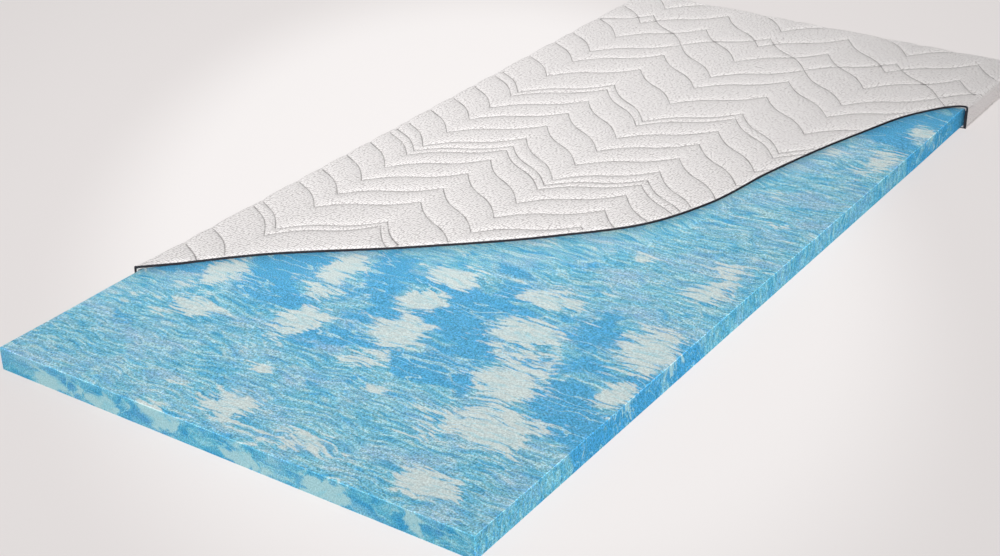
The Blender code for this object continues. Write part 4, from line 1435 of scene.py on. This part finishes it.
@dataclass
class CutBinding:
    """Dark tape folded over the raw edge of the cut: over the top, down the walls and under."""

    cut: CutLine
    width: float = 2.4 * MM
    crown: float = 0.4 * MM
    floor_gap: float = 0.2 * MM
    round_steps: int = 5
    softness: float = 0.8 * MM
    soft_share: float = 0.3
    thin_side: float = 3.4 * MM
    shoulder: float = 0.7 * MM
    foot: float = 8 * MM
    wall_steps: int = 5

    def section(self, lows: list[Point], highs: list[Point], lift: float) -> np.ndarray:
        """Points round the tape where it crosses one wall or panel.

        Args:
            lows: inner corner points, at the cut and away from it.
            highs: outer corner points, at the cut and away from it.
            lift: how far the crown stands above the outer corners.

        Returns:
            The section's points, in order.
        """
        lows, highs = np.array(lows), np.array(highs)
        up = highs.mean(axis=0) - lows.mean(axis=0)
        up /= np.linalg.norm(up)
        turns = np.linspace(math.pi, 0.0, self.round_steps + 2)
        height = float(np.linalg.norm(highs[0] - lows[0]))
        soft = min(self.softness, self.soft_share * height)
        crown = [highs[0] + (highs[1] - highs[0]) * (0.5 + 0.5 * math.cos(turn))
                 + up * ((lift + soft) * math.sin(turn) - soft) for turn in turns]
        return np.array([lows[0], *crown, lows[1]])

    def squeeze(self, spot: np.ndarray) -> float:
        """Returns how far down the tape holds the panel at a plan point: not at its corners."""
        inward = (TOPPER.core_half_width - abs(spot[0])) / TOPPER.hem_fade
        return TOPPER.hem_depth * min(1.0, max(0.0, inward))

    def panel_point(self, spot: np.ndarray, drop: float) -> np.ndarray:
        """Finds a point at a depth below the rolled panel.

        Args:
            spot: the plan point that it belongs to.
            drop: how deep it lies below the panel's outer surface.

        Returns:
            The point.
        """
        flat = np.array([min(max(spot[0], -TOPPER.core_half_width), TOPPER.core_half_width),
                         min(spot[1], TOPPER.core_length)])
        out = spot - flat
        ratio = min(1.0, float(np.hypot(*out)) / TOPPER.roll_radius)
        radius = TOPPER.roll_radius - drop
        moved = flat + out * radius / TOPPER.roll_radius
        rise = (1.0 - ratio ** TOPPER.corner_power) ** (1 / TOPPER.corner_power)
        return np.array([*moved, TOPPER.roll_z + radius * rise])

    def build(self) -> Piece:
        """Makes the binding and its stitches, and dresses them.

        Returns:
            The binding's object.
        """
        points = self.cut.points()
        reaches = (TOPPER.clearance, TOPPER.clearance + self.width)
        thickness = TOPPER.panel_thickness - TOPPER.hem_depth
        over, under, walls = [], [], {}
        for point, normal in zip(points, self.cut.normals(points)):
            spots = [point + normal * reach for reach in reaches]
            drops = [self.squeeze(spot) for spot in spots]
            over.append(self.section(
                [self.panel_point(spot, thickness + drop) for spot, drop in zip(spots, drops)],
                [self.panel_point(spot, drop) for spot, drop in zip(spots, drops)], self.crown))
            if abs(point[0]) < TOPPER.wall_inner - TOPPER.clearance:
                under.append(self.section([(*spot, TOPPER.underside_thickness) for spot in spots],
                                          [(*spot, self.floor_gap) for spot in spots], 0.0))
        for side, place in zip((-1, 1), self.cut.ends):
            inner = TOPPER.wall_inner if side > 0 else TOPPER.half_width - self.thin_side
            heights = np.linspace(TOPPER.border_top - self.shoulder, self.foot, self.wall_steps)
            crossings = [(inner, z, z, self.crown) for z in heights]
            crossings.append((TOPPER.wall_inner, TOPPER.underside_thickness, self.floor_gap, 0.0))
            walls[side] = [
                self.section([(side * inside, place - reach, low) for reach in reaches],
                             [(side * TOPPER.half_width, place - reach, high)
                              for reach in reaches], lift)
                for inside, low, high, lift in crossings]
        line = np.array([section[self.round_steps // 2 + 1] for section in over])
        sections = over + walls[1] + under[::-1] + walls[-1][::-1]
        vertices, faces, cloth = sweep(sections, looped=True)
        edging = WovenTape("dark woven edging tape", "#35343A", "#17171A").make()
        piece = add_piece("edge_binding_tape", vertices, faces, edging, cloth=cloth)
        close_shape(piece, 60.0)
        dress(piece, ("cut_edge_binding",))
        thread = Fibre("dark sewing thread", "#3C3B40", "#222226").make()
        dress(stitch_lines("binding_stitches", [line], thread, pitch=3.4 * MM, length=2.6 * MM))
        return piece


@dataclass
class CoverWalls:
    """Padded strips of the cover's walls; the left one is split by the zip."""

    cut: CutLine
    zip_bottom: float = 14.85 * MM
    zip_top: float = 24.85 * MM
    zip_end: float = 1940 * MM
    edge_radius: float = 1.6 * MM
    edge_share: float = 0.2
    crown: float = 0.35 * MM
    crown_power: int = 4
    step: float = 15 * MM
    corner_steps: int = 8
    round_steps: int = 3
    rise_steps: int = 6
    waviness: float = 0.12 * MM
    wave_length: float = 60 * MM
    seam_inset: float = 2.6 * MM
    seam_margin: float = 4 * MM
    seam_steps: int = 200

    def profile(self, low: float, high: float) -> np.ndarray:
        """Goes round the section of a strip with a crowned outer face.

        Args:
            low, high: the strip's bottom and top.

        Returns:
            Points of depth in from the wall's outer face and height.
        """
        radius = min(self.edge_radius, self.edge_share * (high - low))
        turns = quarter_turn(self.round_steps)
        rounding, rise = radius * (1 - np.sin(turns)), low + radius * (1 - np.cos(turns))
        foot = np.column_stack([self.crown + rounding, rise])[:-1]
        back = np.column_stack([TOPPER.border_thickness - rounding, rise])
        heights = np.linspace(low + radius, high - radius, self.rise_steps + 1)
        middle, half = (low + high) / 2, (high - low) / 2
        bulge = self.crown * ((heights - middle) / half) ** self.crown_power
        face = np.column_stack([bulge, heights])
        head, back_high = ((0.0, low + high) + part * (1, -1) for part in (foot[::-1], back))
        return np.concatenate((foot, face, head, back_high, back[::-1]))

    def strip(self, name: str, path: np.ndarray, outs: np.ndarray, low: float, high: float,
              finish: Material) -> tuple[Piece, float]:
        """Makes one strip along a path.

        Args:
            name: the piece's name.
            path: plan points of its outer face.
            outs: directions out of the wall at those points.
            low, high: its bottom and top.
            finish: its material.

        Returns:
            The strip and its length along its outer face.
        """
        profile = self.profile(low, high)
        sections = []
        for spot, out in zip(path, outs):
            wave = self.waviness * (1 + noise.noise(Vector((*spot, low)) / self.wave_length))
            depth = profile[:, :1] + wave * (profile[:, :1] < TOPPER.border_thickness / 2)
            plan = spot - out * depth
            sections.append(np.column_stack([plan, profile[:, 1]]))
        vertices, faces, cloth = sweep(sections, looped=False)
        piece = add_piece(name, vertices, faces, finish, cloth=cloth)
        close_shape(piece, 50.0)
        return piece, float(self.cut.length_along(path)[-1])

    def straight(self, side: int, start: float, end: float) -> tuple[np.ndarray, np.ndarray]:
        """Lays out the path of a side wall.

        Args:
            side: -1 for the left wall, 1 for the right one.
            start, end: where it begins and ends along Y.

        Returns:
            Plan points of its outer face, and the direction out of the wall at each.
        """
        places = np.linspace(start, end, max(2, round((end - start) / self.step)) + 1)
        path = beside(side * TOPPER.half_width, places)
        return path, np.tile((float(side), 0.0), (len(places), 1))

    def back(self) -> tuple[np.ndarray, np.ndarray]:
        """Lays out the path of the back wall with its rounded corners.

        Returns:
            Plan points of its outer face, and the direction out of the wall at each.
        """
        edge = TOPPER.core_half_width
        turns = quarter_turn(self.corner_steps)
        outs = np.column_stack([np.cos(turns), np.sin(turns)])
        corner = TOPPER.back_corner(TOPPER.roll_radius, turns)
        across = np.linspace(edge, -edge, round(2 * edge / self.step) + 1)[1:-1]
        far = beside(across, TOPPER.cover_back)
        return (np.concatenate((corner, far, mirrored(corner))),
                np.concatenate((outs, np.tile((0.0, 1.0), (len(far), 1)), mirrored(outs))))

    def build(self) -> None:
        """Makes the five strips and the stitches beside the zip, and dresses them."""
        knit = Knit("padded polyester knit of the walls", "#EFEBEA", "#BDB7B7", loop=3.2 * MM,
                    relief=0.3 * MM).make()
        low, high = TOPPER.core_bottom, TOPPER.border_top
        wall_end = TOPPER.core_length - TOPPER.clearance
        left, right = self.cut.ends
        strip_end = self.zip_end - TOPPER.clearance
        plans = (
            ("wall_right", "border_right", self.straight(1, right, wall_end), low, high),
            ("wall_back", "border_back", self.back(), low, high),
            ("wall_left_lower", "border_left_lower", self.straight(-1, left, strip_end), low,
             self.zip_bottom),
            ("wall_left_upper", "border_left_upper", self.straight(-1, left, strip_end),
             self.zip_top, high),
            ("wall_left_end", "border_left_end", self.straight(-1, self.zip_end, wall_end), low,
             high),
        )
        for name, node, (path, outs), bottom, top in plans:
            strip, length = self.strip(name, path, outs, bottom, top, knit)
            dress(strip, (node,))
        thread = Fibre("polyester sewing thread of the walls", "#DAD6D5", "#BDB8B8").make()
        places = np.linspace(left + self.seam_margin, self.zip_end - self.seam_margin,
                             self.seam_steps)
        lines = [beside(self.crown - TOPPER.half_width, places, z)
                 for z in (self.zip_bottom - self.seam_inset, self.zip_top + self.seam_inset)]
        dress(stitch_lines("zip_seam_stitches", lines, thread, pitch=3.6 * MM, length=2.8 * MM))


@dataclass
class Underside:
    """Flat knitted underside of the cover, cut back along the same line as the top."""

    cut: CutLine
    corner_steps: int = 8

    def build(self) -> None:
        """Makes the underside and dresses it."""
        corner = TOPPER.back_corner(TOPPER.roll_radius, quarter_turn(self.corner_steps))
        outline = np.concatenate((self.cut.points(), corner, mirrored(corner)))
        count = len(outline)
        vertices = np.concatenate([beside(*outline.T, z)
                                   for z in (0.0, TOPPER.underside_thickness)])
        faces: list[Face] = [tuple(range(count)), tuple(range(count, 2 * count))]
        faces += [(i, (i + 1) % count, count + (i + 1) % count, count + i)
                  for i in range(count)]
        knit = Knit("plain polyester knit of the underside", "#E8E4E3", "#B8B3B2",
                    loop=3.0 * MM, relief=0.25 * MM).make()
        piece = add_piece("underside_cloth", vertices, faces, knit,
                          cloth=np.tile(outline, (2, 1)))
        close_shape(piece)
        dress(piece, ("underside_panel",))
        length = TOPPER.cover_back - self.cut.ends[0]


@dataclass
class ZipFastener:
    """Zip in the left wall: two tapes with their coils, end stops, the slider and its pull."""

    cut: CutLine
    height: float = 19.85 * MM
    parting: float = 1.6 * MM
    tape_width: float = 10.986 * MM
    tape_depth: float = 5.3 * MM
    tape_thickness: float = 0.6 * MM
    tape_rounding: float = 0.2
    tape_end: float = 1960 * MM
    chain_end: float = 1936.9 * MM
    coil_depth: float = 3.6 * MM
    coil_width: float = 2.2 * MM
    coil_thickness: float = 1.4 * MM
    filament: float = 0.56 * MM
    filament_sides: int = 4
    pitch: float = 1.3 * MM
    lean: float = math.radians(76)
    round_steps: int = 8
    tape_steps: Triple = (1.0, 20 * MM, 3 * MM)
    metal_nodes: tuple[str, ...] = ("zip_slider", "zip_puller", "zip_stop_upper",
                                    "zip_stop_lower")

    def tape(self, side: Side, finish: Material) -> None:
        """Makes one woven tape behind the wall's strip.

        Args:
            side: which half of the zip it is on.
            finish: its material.
        """
        start = self.cut.ends[0]
        near = self.height + side.value * self.parting / 2
        far = near + side.value * self.tape_width
        low = (self.tape_depth - TOPPER.half_width, start, min(near, far))
        high = (low[0] + self.tape_thickness, self.tape_end, max(near, far))
        radius = self.tape_rounding * self.tape_thickness
        places = [edged_steps(*ends, radius, step)
                  for *ends, step in zip(low, high, self.tape_steps)]
        points, faces = skin_of_box(*places)
        piece = add_piece(f"woven_tape_{side.name.lower()}",
                          round_box(points, low, high, radius), faces, finish)
        close_shape(piece, 50.0)
        dress(piece, (f"zip_tape_{side.name.lower()}",))

    def coil(self, side: Side, finish: Material) -> None:
        """Makes one coil on its tape's edge, one turn of filament after another along Y.

        Args:
            side: which half of the zip it is on.
            finish: its material.
        """
        start = self.cut.ends[0] + self.pitch
        sizes = {"Start": start - TOPPER.cover_back / 2, "Pitch": self.pitch,
                 "Depth": self.coil_depth + self.coil_thickness / 2 - TOPPER.half_width,
                 "Height": self.height + side.value * (self.parting + self.coil_width) / 2,
                 "Half Width": (self.coil_width - self.filament) / 2,
                 "Half Thickness": (self.coil_thickness - self.filament) / 2,
                 "Filament": self.filament / 2, "Filament Sides": self.filament_sides,
                 "Round Steps": self.round_steps, "Lean": self.lean,
                 "Turns": int((self.chain_end - start) / self.pitch)}
        tree, add, given = new_shape_tree("coil of filament turns", sizes)
        circle = add("GeometryNodeCurvePrimitiveCircle", Resolution=given["Round Steps"],
                     Radius=1.0)
        oval = add("GeometryNodeTransform", circle,
                   Scale=add("CombineXYZ", given["Half Thickness"], given["Half Width"], 1.0))
        upright = add("GeometryNodeTransform", oval, Rotation=add("CombineXYZ", given["Lean"]))
        thread = add("GeometryNodeCurvePrimitiveCircle", Resolution=given["Filament Sides"],
                     Radius=given["Filament"])
        turn = add("GeometryNodeSetShadeSmooth", add("GeometryNodeCurveToMesh", upright, thread))
        row = add("GeometryNodeMeshLine", given["Turns"],
                  add("CombineXYZ", given["Depth"], given["Start"], given["Height"]),
                  add("CombineXYZ", Y=given["Pitch"]), mode="OFFSET")
        close_tree(add, add("GeometryNodeInstanceOnPoints", row, Instance=turn), given["Finish"])
        piece = add_piece(f"filament_coil_{side.name.lower()}", np.zeros((1, 3)), [])
        run_tree(piece, tree, sizes | {"Finish": finish})
        dress(piece, (f"zip_coil_{side.name.lower()}",))

    def build(self) -> None:
        """Makes both halves of the zip and finishes its metal pieces."""
        ribbon = WovenTape("woven polyester zip tape", "#E6E3E1", "#CFCBC9",
                           thread=0.8 * MM).make()
        nylon = NylonCoil().make()
        zinc = LacqueredZinc().make()
        for side in Side:
            self.tape(side, ribbon)
            self.coil(side, nylon)
        for name in self.metal_nodes:
            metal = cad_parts[name].data.materials
            metal.clear()
            metal.append(zinc)
            LOG.info("%s: kept from the frame, lacquered zinc", name)


@dataclass
class Studio:
    """Pale floor, soft lamps and the camera at the photograph's angle."""

    eye: Point = (1.50892, -2.46493, 1.36119)
    right: Point = (0.826447, 0.562792, -0.015828)
    up: Point = (-0.250031, 0.392062, 0.885309)
    lens: float = 61.883
    sensor: float = 36.0
    clips: Span = (0.05, 60.0)
    floor_size: float = 30.0
    floor_drop: float = 0.2 * MM
    floor_lit_colour: str = "#F6F2F1"
    floor_dark: str = "#E6E1E0"
    light_pool_middle: PlanPoint = (-0.13, -0.12)
    light_pool_turn: float = math.radians(128)
    light_pool_stretch: float = 1.8
    light_pool_span: Span = (0.55, 0.83)
    floor_glow: float = 0.75
    key_place: Point = (2.16, -5.16, 4.3)
    key_aim: Point = (-0.6, 0.55, 0.0)
    key_size: float = 2.2
    key_spread: float = math.radians(28)
    key_power: float = 27.0
    fill_place: Point = (-2.6, 3.4, 1.3)
    fill_size: float = 2.5
    fill_power: float = 7.0
    sky_tint: str = "#FFFEFD"
    sky: float = 0.3

    def floor(self) -> None:
        """Makes the floor, with a painted patch of light that fades out from under the topper."""
        half = self.floor_size / 2
        mesh = bpy.data.meshes.new("studio_floor")
        corners = [(-half, -half), (half, -half), (half, half), (-half, half)]
        mesh.from_pydata([(x, y, -self.floor_drop) for x, y in corners], [], [(0, 1, 2, 3)])
        material, shader, add = new_material("matt backdrop paper", Roughness=0.95,
                                             Specular_IOR_Level=0.1)
        # Painted light: the floor is palest in a long patch under the topper and darker away from
        # it
        light_pool = add("Mapping", add("TexCoord").outputs["Object"], (*self.light_pool_middle, 0.0),
                   (0.0, 0.0, self.light_pool_turn), (self.light_pool_stretch, 1.0, 1.0),
                   vector_type="TEXTURE")
        light_falloff = add("MapRange", add("VectorMath LENGTH", light_pool), *self.light_pool_span, **EASED)
        colour = add("Mix RGBA", light_falloff, self.floor_lit_colour, self.floor_dark)
        feed(shader, Base_Color=colour)
        share = add("Math MULTIPLY", self.seen(add), self.floor_glow)
        blend = add("MixShader", share, shader, add("Emission", colour))
        feed(material.node_tree.nodes["Material Output"], Surface=blend)
        mesh.materials.append(material)
        new_object("studio_floor", mesh)

    def seen(self, add: Adder) -> Node:
        """Adds what is 1 for rays that show the backdrop: direct, mirrored or through glass.

        Args:
            add: adds a node to the tree.

        Returns:
            The node that gives it.
        """
        path = add("LightPath").outputs
        direct = add("Math MAXIMUM", path["Is Camera Ray"], path["Is Glossy Ray"])
        return add("Math MAXIMUM", direct, path["Is Transmission Ray"])

    def world(self) -> None:
        """Makes the even light from all round and the pale backdrop above the floor."""
        world = bpy.data.worlds.new("studio")
        world.use_nodes = True
        bpy.context.scene.world = world
        world.node_tree.nodes.clear()
        add = partial(add_node, world.node_tree)
        light = add("Background", self.sky_tint, self.sky)
        backdrop = add("Background", self.floor_dark, 1.0)
        add("OutputWorld", add("MixShader", self.seen(add), light, backdrop))

    def lamp(self, name: str, place: Point, aim: Point, size: float, power: float,
             spread: float = math.pi) -> None:
        """Adds a square soft lamp.

        Args:
            name: its name.
            place: where it stands.
            aim: the point that it looks at.
            size: its width.
            power: its power in watts.
            spread: how far its light opens, in radians.
        """
        data = bpy.data.lights.new(name, "AREA")
        data.shape, data.size, data.energy, data.spread = "SQUARE", size, power, spread
        lamp = new_object(name, data)
        lamp.location = place
        lamp.rotation_euler = (Vector(aim) - Vector(place)).to_track_quat("-Z", "Y").to_euler()

    def camera(self) -> None:
        """Sets the camera where the photograph was taken from."""
        data = bpy.data.cameras.new("photo_camera")
        data.sensor_fit, data.sensor_width, data.lens = "HORIZONTAL", self.sensor, self.lens
        data.clip_start, data.clip_end = self.clips
        camera = new_object("photo_camera", data)
        turn = Matrix((self.right, self.up, Vector(self.right).cross(Vector(self.up))))
        camera.matrix_world = Matrix.Translation(self.eye) @ turn.transposed().to_4x4()
        bpy.context.scene.camera = camera

    def build(self) -> None:
        """Sets up the floor, the lights, the camera and the plain view."""
        self.floor()
        self.world()
        self.lamp("key_lamp", self.key_place, self.key_aim, self.key_size, self.key_power,
                  self.key_spread)
        self.lamp("fill_lamp", self.fill_place, (0.0, 0.0, 0.0), self.fill_size,
                  self.fill_power)
        self.camera()
        bpy.context.scene.view_settings.view_transform = "Standard"


def main() -> None:
    """Builds the studio and the topper."""
    logging.basicConfig(level=logging.INFO, format="%(name)s: %(message)s")
    Studio().build()
    cut = CutLine()
    FoamSlab(cut).build()
    Underside(cut).build()
    CoverWalls(cut).build()
    binding = CutBinding(cut).build()
    QuiltedTop(cut, Quilting()).build(binding)
    ZipFastener(cut).build()


if __name__ == "__main__":
    main()
